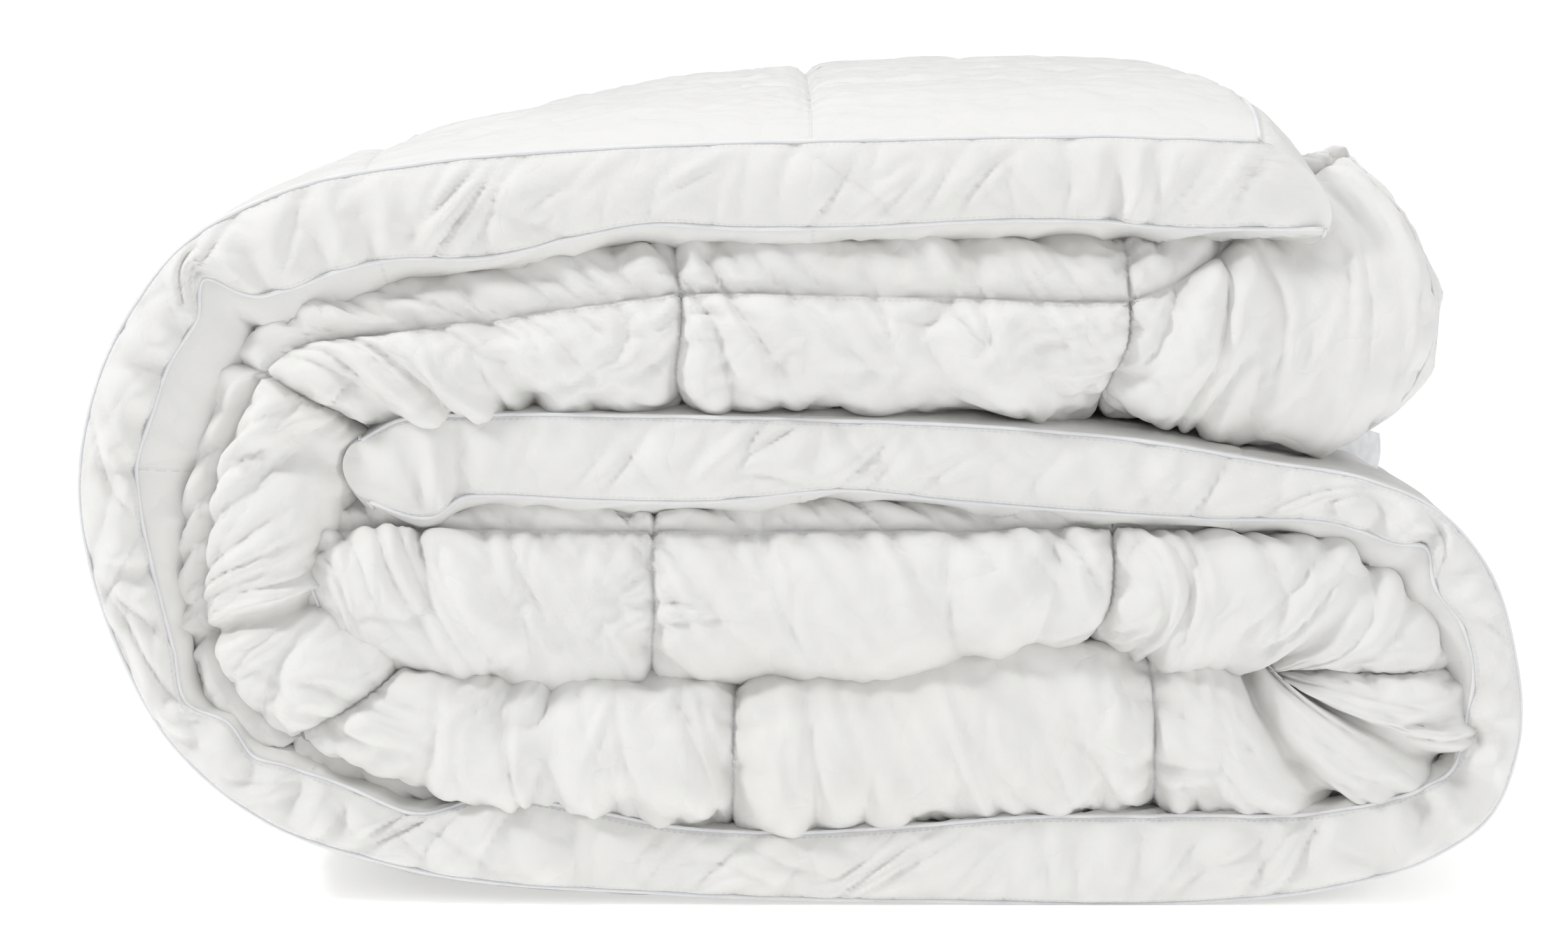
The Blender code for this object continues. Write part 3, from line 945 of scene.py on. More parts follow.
@dataclass
class OuterCover:
    """The face cloth on the outside of the roll, round its back fold and in between the layers."""

    shape: RollShape
    columns: int = 461
    boxes: int = 10
    seams_shown: int = 4
    # The crown's height, how soon it rises behind the front edge, and where it ends as a share of the width.
    crown: float = 0.017
    crown_rise: float = 0.04
    crown_end: float = 0.4
    crown_ease: float = 0.12
    puff: float = 0.005
    puff_steep: float = 3.0
    puff_ease: float = 0.10
    back_radius: float = 0.047
    back_puff_reach: float = 0.06
    back_puff_ease: float = 0.05
    edge_ease: float = 0.03
    above_floor: float = 0.0006
    # How far behind the front the hidden part turns back inside the inner layers, and how tightly.
    flat_from: float = 0.05
    turn_radius: float = 0.002
    turn_points: int = 4
    turn_share: tuple[int, int] = (6, 13)
    # The stretch beside an edge that has more points.
    close_front: float = 0.1
    close_edge: float = 0.05
    # How full the cloth's crown is, and how much the roll narrows towards the back, by row.
    crown_by_row: tuple[tuple[float, float], ...] = (
        (0, 0.5), (2, 0.4), (2.6, 0.1), (3.1, 0.15), (3.6, 0.4), (5, 0.4), (5.9, 0.55), (6.4, 0.1),
        (7.3, 0.1), (7.8, 0.3), (8.4, 0.8), (9.2, 1.05), (10, 1.1),
    )  # fmt: skip
    lean_by_row: tuple[tuple[float, float], ...] = (
        (0, 0), (2, 0.01), (2.7, 0.05), (3.1, 0.02), (3.6, 0), (6, 0), (6.6, 0.03), (7.2, 0.055), (7.7, 0.05),
        (8.4, 0.012), (9, 0), (10, 0),
    )  # fmt: skip
    from_cross: Ripples = Ripples(0.006, 0.075, 0.022, place=(0, 20))
    from_long: Ripples = Ripples(0.006, 0.022, 0.075, place=(0, 40))
    wide: Ripples = Ripples(0.0035, 0.11, 0.05, slant=0.9, turn=-0.5, wander=1.1)
    pucker_reach: float = 0.036
    seam_calm: float = 0.006
    # The folds' share beside the front edge, where they reach their full height, and how soon they start.
    edge_share: float = 0.25
    full_from: float = 0.04
    full_ease: float = 0.1
    wrinkle_ease: float = 0.02
    ruffle: float = 0.0008
    ruffle_cells: tuple[int, int] = (150, 60)
    still_columns: int = 3
    ease_columns: int = 14
    hold: SeamHold = SeamHold(0.002, 0.85, 0.02, 0.004, 0.03, 0.03)
    fabric: Fabric = Fabric()

    def section(self) -> tuple[Points, Points, Points, Points, list[int]]:
        """Lays out the folded width: the top, the back fold, and the hidden part, which turns back once more.

        Returns:
            The lengths along it, the sideways offsets, the depths, how much each point puffs, and the columns
            of the long seams.
        """
        flat = BACK - self.back_radius - FRONT
        back_turn = FRONT + flat
        front_turn = FRONT + self.flat_from
        free_edge = BACK - BACK_EDGE_INSET
        back_end = flat + self.back_radius * math.pi
        turned = back_end + flat - self.flat_from
        gap, radius = 2 * LAYER, self.turn_radius

        near_front, near_edge = self.close_front, free_edge - self.close_edge
        top = np.concatenate([[0.0], steps(0, near_front, 20), steps(near_front, flat, 69)])
        back = steps(0, math.pi, 25)
        under = steps(back_turn, front_turn, 15)
        tight = steps(0, math.pi, self.turn_points)
        last = np.concatenate([steps(front_turn, near_edge, 13), steps(near_edge, free_edge, 8)])
        back_side = -gap / 2 * (1 - np.cos(back))
        tight_side = -gap - radius * (1 - np.cos(tight))
        stretches = (
            (top, 0 * top, FRONT + top),
            (flat + self.back_radius * back, back_side, back_turn + self.back_radius * np.sin(back)),
            (back_end + back_turn - under, -gap + 0 * under, under),
            (turned + radius * tight, tight_side, front_turn - radius * np.sin(tight)),
            (turned + 3 * radius + last - front_turn, -gap - 2 * radius + 0 * last, last),
        )
        lengths, side, depth = np.concatenate([np.stack(s, 1) for s in stretches]).T
        free = eased(lengths / self.edge_ease) * eased((back_end - lengths) / self.edge_ease)
        box = lengths[-1] / self.boxes
        seams = [int(np.abs(lengths - k * box).argmin()) for k in range(1, self.seams_shown + 1)]
        return lengths, side, depth, free, seams

    def build(self) -> GridCloth:
        """Shapes and puckers the cloth.

        Returns:
            The cloth's grid.
        """
        rows = np.linspace(0, ROWS, self.columns)
        lengths, side, depth, free, seams = self.section()
        line = self.shape.at(self.shape.outer, rows)
        outward = self.shape.at(self.shape.outward, rows)
        rise = through(*zip(*self.crown_by_row), rows)
        lean = through(*zip(*self.lean_by_row), rows)
        box = lengths[seams[0]]
        crown = self.crown * (1 - np.exp(-lengths / self.crown_rise))
        crown *= eased((lengths[-1] * self.crown_end - lengths) / self.crown_ease)
        puff_across = pillow(lengths / box, self.puff_steep) * eased(lengths / self.puff_ease) * free
        puff = self.puff * pillow(rows)[:, None] * puff_across[None, :]
        offset = side[None, :] + rise[:, None] * (crown[None, :] + puff)
        offset += self.wrinkles(rows, lengths, box) * (free * eased(lengths / self.wrinkle_ease))[None, :]
        offset -= lean[:, None] * (free * (depth - FRONT))[None, :]
        flat = line[:, None, :] + outward[:, None, :] * offset[..., None]
        points = at_depth(flat, depth[None, :])
        first = int(np.searchsorted(lengths, flat_end(lengths, depth)))
        self.lay_inner_layers(rows, points, first)
        points[..., 1] += puff * eased((depth - BACK + self.back_puff_reach) / self.back_puff_ease)[None, :]
        points[..., 2] = np.maximum(points[..., 2], self.above_floor)
        row_length = self.shape.row_length
        to_seam, along = seam_fields(rows, seams, lengths, row_length)
        points = self.pucker(points, free, to_seam)
        back, turn, last = int(np.argmax(depth)), self.turn_column(first, len(lengths)), len(lengths) - 1
        folds = (0, back, turn, turn + self.turn_points, last)
        return GridCloth("outer_cover", points, rows * row_length, lengths, to_seam, along, folds)

    def turn_column(self, first: int, count: int) -> int:
        """The column where the hidden part of the cloth turns back inside the inner layers' fold."""
        return first + (count - first) * self.turn_share[0] // self.turn_share[1]

    def lay_inner_layers(self, rows: Points, points: Points, first: int) -> None:
        """Lays the hidden part of the cloth inside the fold of the two inner layers.

        Args:
            rows: The grid's row numbers.
            points: The grid, whose columns from first on are moved.
            first: The column where the back fold ends.
        """
        outer, _, inner, _ = self.shape.fold_lines(rows)
        middle = at_depth((outer + inner) / 2, FRONT + self.flat_from)
        turned = at_depth((outer + 2 * inner) / 3, FRONT + self.flat_from + 2 * self.turn_radius)
        edge = self.shape.back_edge(rows, 2 * LAYER + 3 * self.turn_radius)
        turn = self.turn_column(first, points.shape[1])
        left = points.shape[1] - turn - self.turn_points
        parts = [
            between(points[:, first - 1], middle, steps(0, 1, turn - first + 1)),
            between(middle, turned, steps(0, 1, self.turn_points)),
            between(turned, edge, steps(0, 1, left - 1)),
        ]
        points[:, first:] = np.concatenate(parts, axis=1)

    def wrinkles(self, rows: Points, lengths: Points, box: float) -> Points:
        """Folds the cloth with puckers that leave the seams, and long shallow folds over the whole.

        Args:
            rows: The grid's row numbers.
            lengths: The place of each column over the width.
            box: The width of a box.

        Returns:
            The height of each point.
        """
        noise = SmoothNoise(29)
        along, down = self.shape.along(rows), lengths[None, :]
        to_cross = self.shape.to_cross_seam(rows)
        to_long = np.abs(down / box - np.round(down / box)) * box
        folds = (
            self.from_cross.read(noise, along, down) * np.exp(-to_cross / self.pucker_reach)
            + self.from_long.read(noise, along, down) * np.exp(-to_long / self.pucker_reach)
            + self.wide.read(noise, along, down)
        )
        off_seam = 1 - np.exp(-np.minimum(to_cross, to_long) / self.seam_calm)
        inward = eased((lengths - self.full_from) / self.full_ease)[None, :]
        return (self.edge_share + (1 - self.edge_share) * inward) * off_seam * folds

    def pucker(self, points: Points, free: Points, to_seam: Points) -> Points:
        """Simulates the part of the cloth that shows.

        Args:
            points: The grid, which is changed in place.
            free: How much each column puffs.
            to_seam: Each point's distance from a seam.

        Returns:
            The grid.
        """
        shown = int(np.nonzero(free > 0)[0][-1]) + 2
        start, to_seam = points[:, :shown], to_seam[:, :shown]
        near, held = self.hold.near(to_seam), self.hold.held(to_seam)
        held[:, :1] = held[:, -2:] = held[:1] = held[-1:] = 1
        calm = eased((np.arange(shown) - self.still_columns) / self.ease_columns)[None, :]
        down = (self.hold.spare + self.hold.spare_down * near) * calm
        across = (self.hold.spare + self.hold.spare_across * near) * calm
        simulation = ClothSimulation(start, held, down, across, self.fabric)
        waves = SmoothNoise(3).field(near.shape, self.ruffle_cells)
        simulation.ruffle(grid_normals(start), waves * self.ruffle * calm)
        points[:, :shown] = simulation.run(floor=LOWEST)
        return points


@dataclass(frozen=True)
class Crease:
    """A deep fold of cloth across the inner layers' fold: its rows at both sides, depth, width and start."""

    outer_row: float
    inner_row: float
    depth: float
    width: float
    start: float = 0.0
    ease: float = 0.16

    def pressed(self, rows: Points, share: Points) -> Points:
        """Presses the crease in.

        Args:
            rows: The grid's row numbers.
            share: How far down the fold each column lies, from 0 to 1.

        Returns:
            How deep it is at each point.
        """
        middle = self.outer_row + (self.inner_row - self.outer_row) * share
        gap = (rows[:, None] - middle[None, :]) / self.width
        reach = eased((share - self.start) / self.ease + 0.5) * (0.3 + 0.7 * np.sin(math.pi * share))
        return self.depth * np.exp(-(gap**2)) * reach[None, :]


@dataclass
class InnerCover:
    """The face cloth that shows on the fold of the two inner layers, and runs in between the layers."""

    shape: RollShape
    columns: int = 861
    # A grid row where the fold has its usual width, as a share of the rows.
    usual_row: tuple[int, int] = (17, 20)
    tuck: float = 0.034
    # How far the fold's upper part lies behind the gusset at the end on top, and from which row.
    end_tuck: float = 0.032
    end_tuck_from: float = 9.0
    tip: float = FRONT + 0.004
    roundness: float = 0.85
    puff: float = 0.013
    puff_steep: float = 6.0
    upper_puff: float = 0.55
    upper_reach: float = 0.05
    lower_reach: float = 0.09
    end_reach: float = 0.12
    seam_column_share: float = 0.28
    fold_points: int = 60
    # Rows between which the long seam is out of sight.
    seamless: tuple[tuple[float, float], ...] = ((4.35, 4.75), (9.07, 10.0))
    # How far the seams wander from their straight lines, and over which lengths along and across.
    wander: float = 0.004
    wander_cells: tuple[float, float] = (0.05, 0.035)
    # How far the first layer's underside swells in towards the roll's middle, in millimetres, by row.
    underside: tuple[tuple[float, float], ...] = (
        (0, 9), (2.4, 9), (3, 8), (3.6, 4), (4, 3), (5.5, 3), (6.2, 10), (7, 14), (8, 13), (9.5, 12), (10, 8),
    )  # fmt: skip
    underside_wave: float = 0.006
    underside_spread: float = 0.003
    most_swell: float = 0.045
    swell_share: float = 0.92
    lip_share: float = 0.85
    lip_depth: float = 0.004
    # The share of each hidden stretch beside the fold that has more points.
    close: float = 0.07
    creases: tuple[Crease, ...] = (
        Crease(2.72, 2.72, 0.009, 0.05),
        Crease(3.35, 3.35, 0.014, 0.055),
        Crease(3.65, 3.65, 0.016, 0.05),
        Crease(6.38, 6.38, 0.011, 0.04),
        Crease(6.84, 6.88, 0.006, 0.035, 0.3),
        Crease(7.52, 7.62, 0.010, 0.05, 0.3),
    )
    from_cross: Ripples = Ripples(0.0105, 0.060, 0.015, slant=0.3, place=(0, 20))
    from_long: Ripples = Ripples(0.0110, 0.024, 0.055, slant=-0.9, place=(0, 40))
    wide: Ripples = Ripples(0.013, 0.062, 0.075, slant=-0.9, turn=0.5, wander=1.0, least=0.004)
    small: Ripples = Ripples(
        0.0032, 0.030, 0.022, slant=-0.54, turn=0.3, place=(5, 9), wander=1.2, least=0.00096
    )
    soft: float = 0.0012
    cross_reach: float = 0.030
    long_reach: float = 0.032
    seam_calm: float = 0.004
    ruffle: float = 0.0009
    ruffle_cells: tuple[int, int] = (260, 16)
    drift: float = 0.010
    drift_cells: tuple[int, int] = (60, 6)
    hold: SeamHold = SeamHold(0.0016, 0.94, 0.016, 0.004, 0.04, 0.05)
    fabric: Fabric = Fabric(steps=60, most_move=0.007)

    def down_fold(self, points: Points) -> Points:
        """The length down a grid, measured at the usual row."""
        return run_lengths(points[self.columns * self.usual_row[0] // self.usual_row[1]])

    def fold(self, rows: Points) -> Points:
        """Rounds the fold's front, from where it leaves the outer layer to the pass inside it.

        Args:
            rows: The grid's row numbers.

        Returns:
            The fold's points.
        """
        outer, tip, inner, seam = self.shape.fold_lines(rows)
        share, split = np.linspace(0, 1, self.fold_points)[None, :], self.seam_column_share
        at_seam = (np.arccos(1 - seam) / math.pi)[:, None]
        above = share / split * at_seam
        below = at_seam + (share - split) / (1 - split) * (1 - at_seam)
        turn = np.where(share <= split, above, below) * math.pi
        place = (1 - np.cos(turn)) / 2
        bend = (tip - (outer + inner) / 2)[:, None, :]
        flat = outer[:, None, :] + (inner - outer)[:, None, :] * place[..., None]
        flat = flat + bend * (4 * place * (1 - place))[..., None]
        depth = self.tip + self.tuck * (1 - np.sin(turn) ** self.roundness)
        depth += self.end_tuck * eased((rows - self.end_tuck_from) / 0.5)[:, None] * (1 - place) ** 1.5
        return at_depth(flat, depth)

    def puffed(self, rows: Points, points: Points) -> Points:
        """Puffs the fold's boxes, presses its deep creases in and lets its seams wander.

        Args:
            rows: The grid's row numbers.
            points: The fold's points.

        Returns:
            The points moved.
        """
        share = np.linspace(0, 1, self.fold_points)
        arch = np.sin(math.pi * share)
        off = share - self.seam_column_share
        upper = self.upper_puff * (1 - np.exp(off / self.upper_reach))
        over = np.where(off < 0, upper, 1 - np.exp(-off / self.lower_reach))
        ends = eased(rows / self.end_reach) * eased((ROWS - rows) / self.end_reach)
        box = pillow(rows, self.puff_steep, 1.0) * (0.25 + 0.75 * ends)
        amount = self.puff * box[:, None] * over[None, :] * (0.35 + 0.65 * arch)[None, :]
        for crease in self.creases:
            amount -= crease.pressed(rows, share)
        down = self.down_fold(points)
        amount += self.wrinkles(rows, down)
        along = self.shape.along(rows) / self.wander_cells[0]
        aside = SmoothNoise(41).at(along, down[None, :] / self.wander_cells[1]) * arch[None, :]
        run = unit(np.gradient(points, axis=0))
        return points - grid_normals(points) * amount[..., None] + run * (self.wander * aside)[..., None]

    def wrinkles(self, rows: Points, lengths: Points) -> Points:
        """Folds the cloth with puckers that leave the seams, and wider folds over the whole.

        Args:
            rows: The grid's row numbers.
            lengths: The place of each column down the fold.

        Returns:
            The height of each point.
        """
        noise = SmoothNoise(17)
        along, down = self.shape.along(rows), lengths[None, :]
        to_cross = self.shape.to_cross_seam(rows)
        to_long = np.abs(down - lengths[int(self.seam_column_share * (self.fold_points - 1))])
        rough = eased(0.65 + 1.1 * noise.at(along / 0.15 + 3, down / 0.12 + 2))
        off_seam = 1 - 0.75 * np.exp(-np.minimum(to_cross, to_long) / self.seam_calm)
        return off_seam * (
            self.from_cross.read(noise, along, down) * np.exp(-to_cross / self.cross_reach)
            + self.from_long.read(noise, along, down) * np.exp(-to_long / self.long_reach)
            + self.wide.read(noise, along, down, rough)
            + self.small.read(noise, along, down, rough)
            + self.soft * noise.at(along / 0.045 + 9, down / 0.040)
        )

    def build(self) -> GridCloth:
        """Shapes and puckers the cloth.

        Returns:
            The cloth's grid.
        """
        shape = self.shape
        rows = np.linspace(0, ROWS, self.columns)
        line = shape.at(shape.outer, rows)
        inward = -shape.at(shape.outward, rows)
        gusset_line = shape.at(shape.inner, rows)
        edge = at_depth(gusset_line, FRONT)
        hung = [at_depth(line + inward * LAYER * k, BACK - LAYER) for k in (1.0, 1.08)]
        fold = self.fold(rows)
        least = np.interp(rows, *zip(*self.underside)) * MM
        least = least + self.underside_spread * SmoothNoise(53).at(rows * 7, 0 * rows)
        to_fold = shape.fold_lines(rows)[0] - gusset_line
        swell = np.clip(self.swell_share * (to_fold * inward).sum(axis=1), least, self.most_swell)[:, None]
        lip = edge + at_depth(inward * swell * self.lip_share, self.lip_depth)
        under = edge + at_depth(inward * swell, self.tuck)
        into_fold = np.append(steps(0, 1 - self.close, 8), steps(1 - self.close, 1, 6)[:-1])
        out_of_fold = np.append(steps(0, self.close, 5), steps(self.close, 1, 9))
        parts = [
            rounded(edge, lip, under, np.linspace(0, 1, 11)),
            between(under, hung[0], steps(0, 1, 12)),
            between(hung[0], hung[1], steps(0, 1, 2)),
            between(hung[1], fold[:, 0], into_fold),
            self.puffed(rows, fold),
            between(fold[:, -1], shape.back_edge(rows, 3 * LAYER), out_of_fold),
        ]
        starts = [int(start) for start in np.cumsum([0] + [p.shape[1] for p in parts])]
        points = np.concatenate(parts, axis=1)
        self.wave_underside(rows, points[:, : starts[1] + 4])
        lengths = self.down_fold(points)
        seam = starts[4] + int(round(self.seam_column_share * (self.fold_points - 1)))
        to_seam, along = seam_fields(rows, [seam], lengths, shape.row_length)
        hidden = sum((rows > low) & (rows <= high) for low, high in self.seamless)[:, None]
        on_fold = slice(starts[4], starts[5])
        to_seam[:, on_fold] = np.where(hidden, shape.to_cross_seam(rows), to_seam[:, on_fold])
        points = self.pucker(points, to_seam, slice(starts[4] - 6, starts[5] + 7))
        folds = (0, starts[2], starts[4], starts[5] - 1, points.shape[1] - 1)
        return GridCloth("inner_cover", points, rows * shape.row_length, lengths, to_seam, along, folds)

    def wave_underside(self, rows: Points, part: Points) -> None:
        """Gives soft waves to the part that shows under the gusset.

        Args:
            rows: The grid's row numbers.
            part: That part of the grid, which is changed in place.
        """
        share = np.linspace(0, 1, part.shape[1])[None, :]
        along = self.shape.along(rows)
        waves = SmoothNoise(61).folds(along / 0.045 + share, 1.4 * share + 0.2 * along, 0.9) - 0.35
        part += grid_normals(part) * (self.underside_wave * waves * np.sin(math.pi * share) ** 0.6)[..., None]

    def pucker(self, points: Points, to_seam: Points, shown: slice) -> Points:
        """Simulates the fold.

        Args:
            points: The grid, which is changed in place.
            to_seam: Each point's distance from a seam.
            shown: The columns that the fold takes up.

        Returns:
            The grid.
        """
        start = points[:, shown]
        near, held = self.hold.near(to_seam[:, shown]), self.hold.held(to_seam[:, shown])
        held[:, :2] = held[:, -2:] = held[:1] = held[-1:] = 1
        noise = SmoothNoise(11)
        drift = noise.field(near.shape, self.drift_cells) * self.drift
        down = self.hold.spare + self.hold.spare_down * near + drift
        across = self.hold.spare + self.hold.spare_across * near - drift
        simulation = ClothSimulation(start, held, down, across, self.fabric)
        simulation.ruffle(grid_normals(start), noise.field(near.shape, self.ruffle_cells) * self.ruffle)
        points[:, shown] = simulation.run()
        return points


@dataclass
class Gusset:
    """A boxed strip between the two face cloths, along one edge of the duvet."""

    name: str
    outer_edge: Points
    inner_edge: Points
    outward: Points
    length: float
    bulge: float = 0.007
    wave: float = 0.030
    wrinkle: float = 0.0085
    points_across: int = 24
    seed: int = 5
    # How far, and which way, the middle of each end runs on past the edges' ends, round the duvet's corners.
    corners: tuple[Points, Points] | None = None
    bulges_at_ends: bool = False
    fine: Ripples = Ripples(1.0, 0.030, 0.050, slant=0.9)
    coarse: Ripples = Ripples(0.8, 0.045, 0.045, slant=-0.8, place=(7, 3))
    most_spare: float = 0.7
    turn_spread: float = 0.35
    spare_down: float = 0.010
    spare_across: float = 0.012
    drift: float = 0.012
    fabric: Fabric = Fabric(most_move=0.005, bend=0.06)

    def build(self) -> GridCloth:
        """Shapes and creases the strip.

        Returns:
            The cloth's grid.
        """
        share = np.linspace(0, 1, self.points_across)
        points = between(self.outer_edge, self.inner_edge, share)
        wide = np.linalg.norm(self.inner_edge - self.outer_edge, axis=1)
        across = wide.mean() * share
        runs = run_lengths((self.outer_edge + self.inner_edge) / 2)
        full = np.sin(math.pi * share)[None, :]
        from_ends = [eased(run / CORNER_REACH)[:, None] for run in (runs, runs[-1] - runs)]
        calm = from_ends[0] * from_ends[1]
        bow = (self.bunched(points) * full**0.5 + self.wrinkles(runs, across) * full**0.4) * calm
        bow += self.bulge * full**0.6 * (1.0 if self.bulges_at_ends else calm)
        points = points + self.outward[:, None, :] * bow[..., None]
        for corner, inside in zip(self.corners or (), from_ends):
            points += ((1 - inside) * full**0.6)[..., None] * corner
        to_edge = np.minimum(share, 1 - share)[None, :] * wide[:, None]
        points = self.crease(points)
        down = np.broadcast_to(runs[:, None], points.shape[:2])
        return GridCloth(self.name, points, runs, across, np.abs(to_edge - STITCH_INSET), down)

    def wrinkles(self, runs: Points, across: Points) -> Points:
        """Folds the strip with slanting folds that leave its two seams, and wider ones from seam to seam.

        Args:
            runs: The length along the strip to each row of points.
            across: The place of each column over its width.

        Returns:
            The height of each point.
        """
        noise = SmoothNoise(self.seed + 2)
        along, down = runs[:, None], across[None, :]
        rough = eased(0.55 + 1.1 * noise.at(along / 0.13, down / 0.2 + 4))
        folds = self.fine.read(noise, along, down) + self.coarse.read(noise, along, down) - 0.5
        return self.wrinkle * (0.25 + 0.75 * rough) * folds

    def bunched(self, points: Points) -> Points:
        """Makes waves along the strip, which take up its own length where a bend leaves less room.

        Args:
            points: The strip's points.

        Returns:
            The height of each point.
        """
        steps = np.linalg.norm(np.gradient(points, axis=0), axis=2)
        spare = np.clip(self.length / (len(points) - 1) / steps - 1, 0, self.most_spare)
        turns = np.cumsum(steps.mean(axis=1)) / self.wave
        turns += self.turn_spread * SmoothNoise(self.seed + 1).field(points.shape[:2], (40, 2))[:, 0]
        return self.wave / math.pi * np.sqrt(spare) * np.sin(2 * math.pi * turns)[:, None]

    def crease(self, points: Points) -> Points:
        """Simulates the strip, whose two edges were sewn slightly out of step.

        Args:
            points: The strip's points.

        Returns:
            The points at the simulation's end.
        """
        shape = points.shape[:2]
        held = np.zeros(shape)
        held[:, :1] = held[:, -1:] = held[:1] = held[-1:] = 1
        drift = SmoothNoise(self.seed).field(shape, (max(4, shape[0] // 30), 3)) * self.drift
        down, across = self.spare_down + drift, self.spare_across - drift
        return ClothSimulation(points, held, down, across, self.fabric).run(floor=LOWEST)


@dataclass
class Piping:
    """A cord in its own cotton cover, sewn into a seam."""

    name: str
    line: Points
    radius: float = 0.0011
    sides: int = 8

    def build(self, finish: bpy.types.Material) -> bpy.types.Object:
        """Sweeps the cord along its seam.

        Args:
            finish: The cover's material.

        Returns:
            The object, closed at both ends.
        """
        along = unit(np.gradient(self.line, axis=0))
        side = np.empty_like(along)
        side[0] = unit(np.cross(along[0], (0.3, 0.5, 0.8)))
        for i in range(1, len(along)):
            kept = side[i - 1] - along[i] * float(side[i - 1] @ along[i])
            side[i] = kept / np.linalg.norm(kept)
        other = np.cross(along, side)
        turns = np.linspace(0, 2 * math.pi, self.sides, endpoint=False)
        rings = self.line[:, None] + self.radius * (
            side[:, None] * np.cos(turns)[None, :, None] + other[:, None] * np.sin(turns)[None, :, None]
        )
        count = len(self.line)
        number = np.arange(count * self.sides).reshape(count, self.sides)
        turned = np.roll(number, -1, axis=1)
        quads = np.stack([number[:-1], turned[:-1], turned[1:], number[1:]], -1).reshape(-1, 4)
        mesh = bpy.data.meshes.new(self.name)
        faces = [tuple(q) for q in quads.tolist()]
        faces += [tuple(number[0][::-1].tolist()), tuple(number[-1].tolist())]
        mesh.from_pydata(rings.reshape(-1, 3).tolist(), [], faces)
        mesh.shade_smooth()
        mesh.materials.append(finish)
        return placed(self.name, mesh)


def finish_piece(piece: bpy.types.Object, slot: str, *nodes: str) -> bpy.types.Object:
    """Makes a piece ride on the duvet, and hides the solids it stands for.

    Args:
        piece: The piece.
        slot: Its finish slot; not used.
        nodes: The names of those solids.

    Returns:
        The same piece.
    """
    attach(piece, BODY)
    if nodes:
        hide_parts(*nodes)
    LOG.info("%s: %d faces", piece.name, len(piece.data.polygons))
    return piece


class Covers:
    """The two face cloths, with the filling and its walls inside them."""

    def __init__(self, shape: RollShape) -> None:
        """Shapes both cloths."""
        self.outer = OuterCover(shape).build()
        self.inner = InnerCover(shape).build()

    def build(self, cotton: bpy.types.Material, inside: list[str]) -> None:
        """Makes both cloths.

        Args:
            cotton: Their finish.
            inside: The solids of the filling and its walls, which the cloths hide.
        """
        outer = finish_piece(self.outer.build(cotton), "white_cotton", "outer_face", *inside)
        inner = finish_piece(self.inner.build(cotton), "white_cotton", "inner_face")


@dataclass
class Edges:
    """The four boxed strips round the duvet, and the piping in each of their seams."""

    shape: RollShape
    covers: Covers
    long_flat: tuple[float, float] = (0.049, 2.29)
    end_flat: tuple[float, float] = (0.049, 2.24)
    front_points: int = 921
    back_points: int = 461
    end_counts: tuple[int, int, int, int] = (145, 125, 36, 114)
    start_bulge: float = 0.012
    end_bulge: float = 0.015
    end_wrinkle: float = 0.003
    cord_lift: float = 0.0008

    def strips(self) -> list[tuple[str, Gusset]]:
        """Shapes the four strips.

        Returns:
            Each strip with the name of its edge.
        """
        outer, inner = self.covers.outer, self.covers.inner
        rows = np.linspace(0, ROWS, self.front_points)
        lines = [at_depth(self.shape.at(line, rows), FRONT) for line in (self.shape.outer, self.shape.inner)]
        middle = sum(lines) / 2
        aways = unit(middle[0] - middle[1]), unit(middle[-1] - middle[-2])
        corners = {"corners": (aways[0] * self.start_bulge, aways[1] * self.end_bulge)}
        made = [("front", lines, (0.0, -1.0, 0.0), self.long_flat[1], corners)]
        rows = np.linspace(0, ROWS, self.back_points)
        lines = [outer.far_edge(rows), inner.far_edge(rows)]
        made.append(("back", lines, (0.0, 1.0, 0.0), self.long_flat[1], corners))
        ends = (("start", 0, aways[0], self.start_bulge), ("end", -1, aways[1], self.end_bulge))
        for edge, row, away, bulge in ends:
            lines = [cloth.edge(row, self.end_counts) for cloth in (outer, inner)]
            fullness = {"bulge": bulge, "bulges_at_ends": True, "wrinkle": self.end_wrinkle}
            made.append((edge, lines, tuple(away), self.end_flat[1], fullness))
        return [
            (edge, Gusset(f"{edge}_strip", *lines, np.tile(away, (len(lines[0]), 1)), length, **extra))
            for edge, lines, away, length, extra in made
        ]

    def build(self, cotton: bpy.types.Material, cord: bpy.types.Material) -> None:
        """Makes the strips and their piping.

        Args:
            cotton: The strips' finish.
            cord: The piping's finish.
        """
        for edge, strip in self.strips():
            piece = finish_piece(strip.build().build(cotton), "white_cotton", f"{edge}_gusset")
            flat = self.long_flat if edge in ("front", "back") else self.end_flat
            for side, line in ((Side.OUTER, strip.outer_edge), (Side.INNER, strip.inner_edge)):
                piping = Piping(f"{edge}_cord_{side.value}", line + strip.outward * self.cord_lift)
                finish_piece(piping.build(cord), "piping_cotton", f"{edge}_piping_{side.value}")


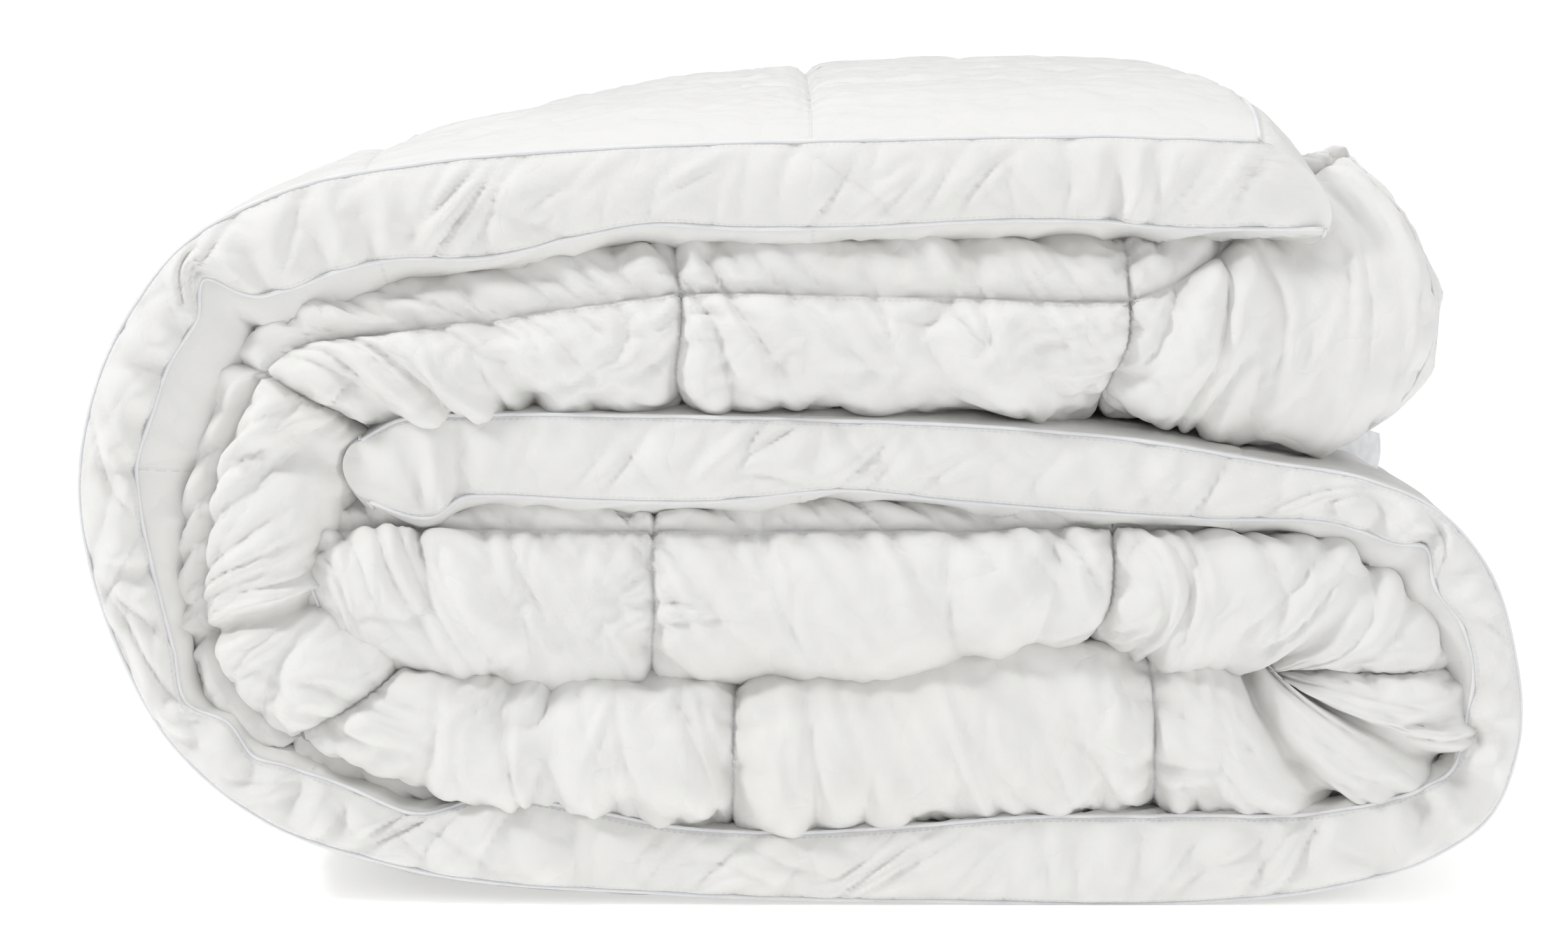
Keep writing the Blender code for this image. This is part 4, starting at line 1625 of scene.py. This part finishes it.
@dataclass
class CareLabel:
    """A small blank satin label, sewn into the end seam on the inner side."""

    width: float = 0.040
    drop: float = 0.020
    place: tuple[float, float, float] = (0.303, -0.262, 0.2405)
    turn: float = math.radians(49)
    tilt: float = 0.38
    curl: float = 0.0022
    cells: tuple[int, int] = (12, 18)

    def build(self, finish: bpy.types.Material) -> None:
        """Makes the label.

        Args:
            finish: Its satin.
        """
        down = np.linspace(0, 1, self.cells[0] + 1)[:, None]
        across = np.linspace(-0.5, 0.5, self.cells[1] + 1)[None, :] * self.width
        bent = self.curl * np.sin(2.2 * down + 3.0 * across / self.width) * down
        x = self.place[0] + across * math.cos(self.turn) + bent
        y = self.place[1] + across * math.sin(self.turn) - 0.5 * bent
        z = self.place[2] - down * self.drop - self.tilt * across * math.cos(self.turn)
        points = np.stack(np.broadcast_arrays(x, y, z), -1)
        to_side = self.width / 2 - np.abs(across) + 0 * down
        grid = GridCloth("label", points, down[:, 0] * self.drop, across[0], to_side, to_side)
        piece = finish_piece(grid.build(finish), "label_satin", "care_label")


@dataclass(frozen=True)
class Lamp:
    """A square area light that faces the roll: its place, its side in metres and its power in watts."""

    name: str
    place: tuple[float, float, float]
    size: float
    power: float


@dataclass
class Studio:
    """A pale flat floor, three lamps, an even surround and the camera."""

    camera_distance: float = 3.0
    elevation: float = 5.2
    frame_width: float = 0.8155
    sensor_width: float = 36.0
    look_at: tuple[float, float] = (-0.0085, 0.2275)
    floor_colour: tuple[float, float, float] = (0.96, 0.96, 0.96)
    floor_glow: float = 0.30
    floor_reach: float = 80.0
    # The surround's strength at its foot and overhead, and its colour.
    sky_low: float = 0.05
    sky_high: float = 1.12
    sky_colour: tuple[float, float, float] = (0.985, 0.99, 1.0)
    lamp_target: tuple[float, float, float] = (0.0, 0.0, 0.2)
    lamps: tuple[Lamp, ...] = (
        Lamp("overhead", (-0.3, -0.6, 2.5), 0.6, 10.0),
        Lamp("left", (-2.3, -1.15, 2.3), 0.4, 40.0),
        Lamp("right", (2.4, -1.9, 1.2), 0.8, 15.0),
    )

    def build(self) -> None:
        """Builds the studio."""
        self.floor()
        self.surround()
        for lamp in self.lamps:
            self.light(lamp)
        self.camera()

    def floor(self) -> None:
        """Makes a wide flat floor that glows faintly, so that its far part stays white."""
        reach = self.floor_reach
        mesh = bpy.data.meshes.new("floor")
        corners = [(-reach, -reach, 0.0), (reach, -reach, 0.0), (reach, reach, 0.0), (-reach, reach, 0.0)]
        mesh.from_pydata(corners, [], [(0, 1, 2, 3)])
        tree = ShaderTree("studio_paper")
        tree.surface(Base_Color=(*self.floor_colour, 1), Roughness=0.9, Specular_IOR_Level=0.1)
        tree.surface(Emission_Color=(1, 1, 1, 1), Emission_Strength=self.floor_glow)
        mesh.materials.append(tree.material)
        placed("floor", mesh)

    def surround(self) -> None:
        """Lights everything evenly from above, more strongly the higher the light comes from."""
        bpy.context.scene.view_settings.view_transform = "Standard"
        bpy.context.scene.view_settings.exposure = 0.0
        world = bpy.data.worlds.new("surround")
        world.use_nodes = True
        sky = world.node_tree
        place = sky.nodes.new("ShaderNodeTexCoord")
        parts = sky.nodes.new("ShaderNodeSeparateXYZ")
        rise = sky.nodes.new("ShaderNodeMapRange")
        sky.links.new(place.outputs["Generated"], parts.inputs[0])
        sky.links.new(parts.outputs["Z"], rise.inputs["Value"])
        rise.inputs["To Min"].default_value = self.sky_low
        rise.inputs["To Max"].default_value = self.sky_high
        sky.links.new(rise.outputs[0], sky.nodes["Background"].inputs["Strength"])
        sky.nodes["Background"].inputs["Color"].default_value = (*self.sky_colour, 1)
        bpy.context.scene.world = world

    def light(self, lamp: Lamp) -> None:
        """Puts up a lamp.

        Args:
            lamp: The lamp.
        """
        data = bpy.data.lights.new(lamp.name, "AREA")
        data.size = lamp.size
        data.energy = lamp.power
        made = placed(lamp.name, data)
        made.location = lamp.place
        aim = Vector(self.lamp_target) - Vector(lamp.place)
        made.rotation_euler = aim.to_track_quat("-Z", "Y").to_euler()

    def camera(self) -> None:
        """Puts up the camera, a little above the duvet's front."""
        data = bpy.data.cameras.new("camera")
        data.sensor_width = self.sensor_width
        data.lens = self.sensor_width * self.camera_distance / self.frame_width
        made = placed("camera", data)
        x, z = self.look_at
        rise = math.radians(self.elevation)
        away = Vector((0, -math.cos(rise), math.sin(rise)))
        made.location = Vector((x, FRONT, z)) + self.camera_distance * away
        made.rotation_euler = (math.pi / 2 - rise, 0, 0)
        bpy.context.scene.camera = made


def main() -> None:
    """Builds the duvet's pieces in order, and the studio round them."""
    logging.basicConfig(level=logging.INFO, format="%(name)s %(message)s")
    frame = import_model()
    nodes = sorted(frame["nodes"])
    cotton = CottonFinish().build()
    cord = PipingFinish().build()
    shape = RollShape()

    covers = Covers(shape)
    covers.build(cotton, [n for n in nodes if n.startswith(("fill_row", "cross_baffle"))])
    Edges(shape, covers).build(cotton, cord)
    CareLabel().build(SatinFinish().build())
    Studio().build()


if __name__ == "__main__":
    main()
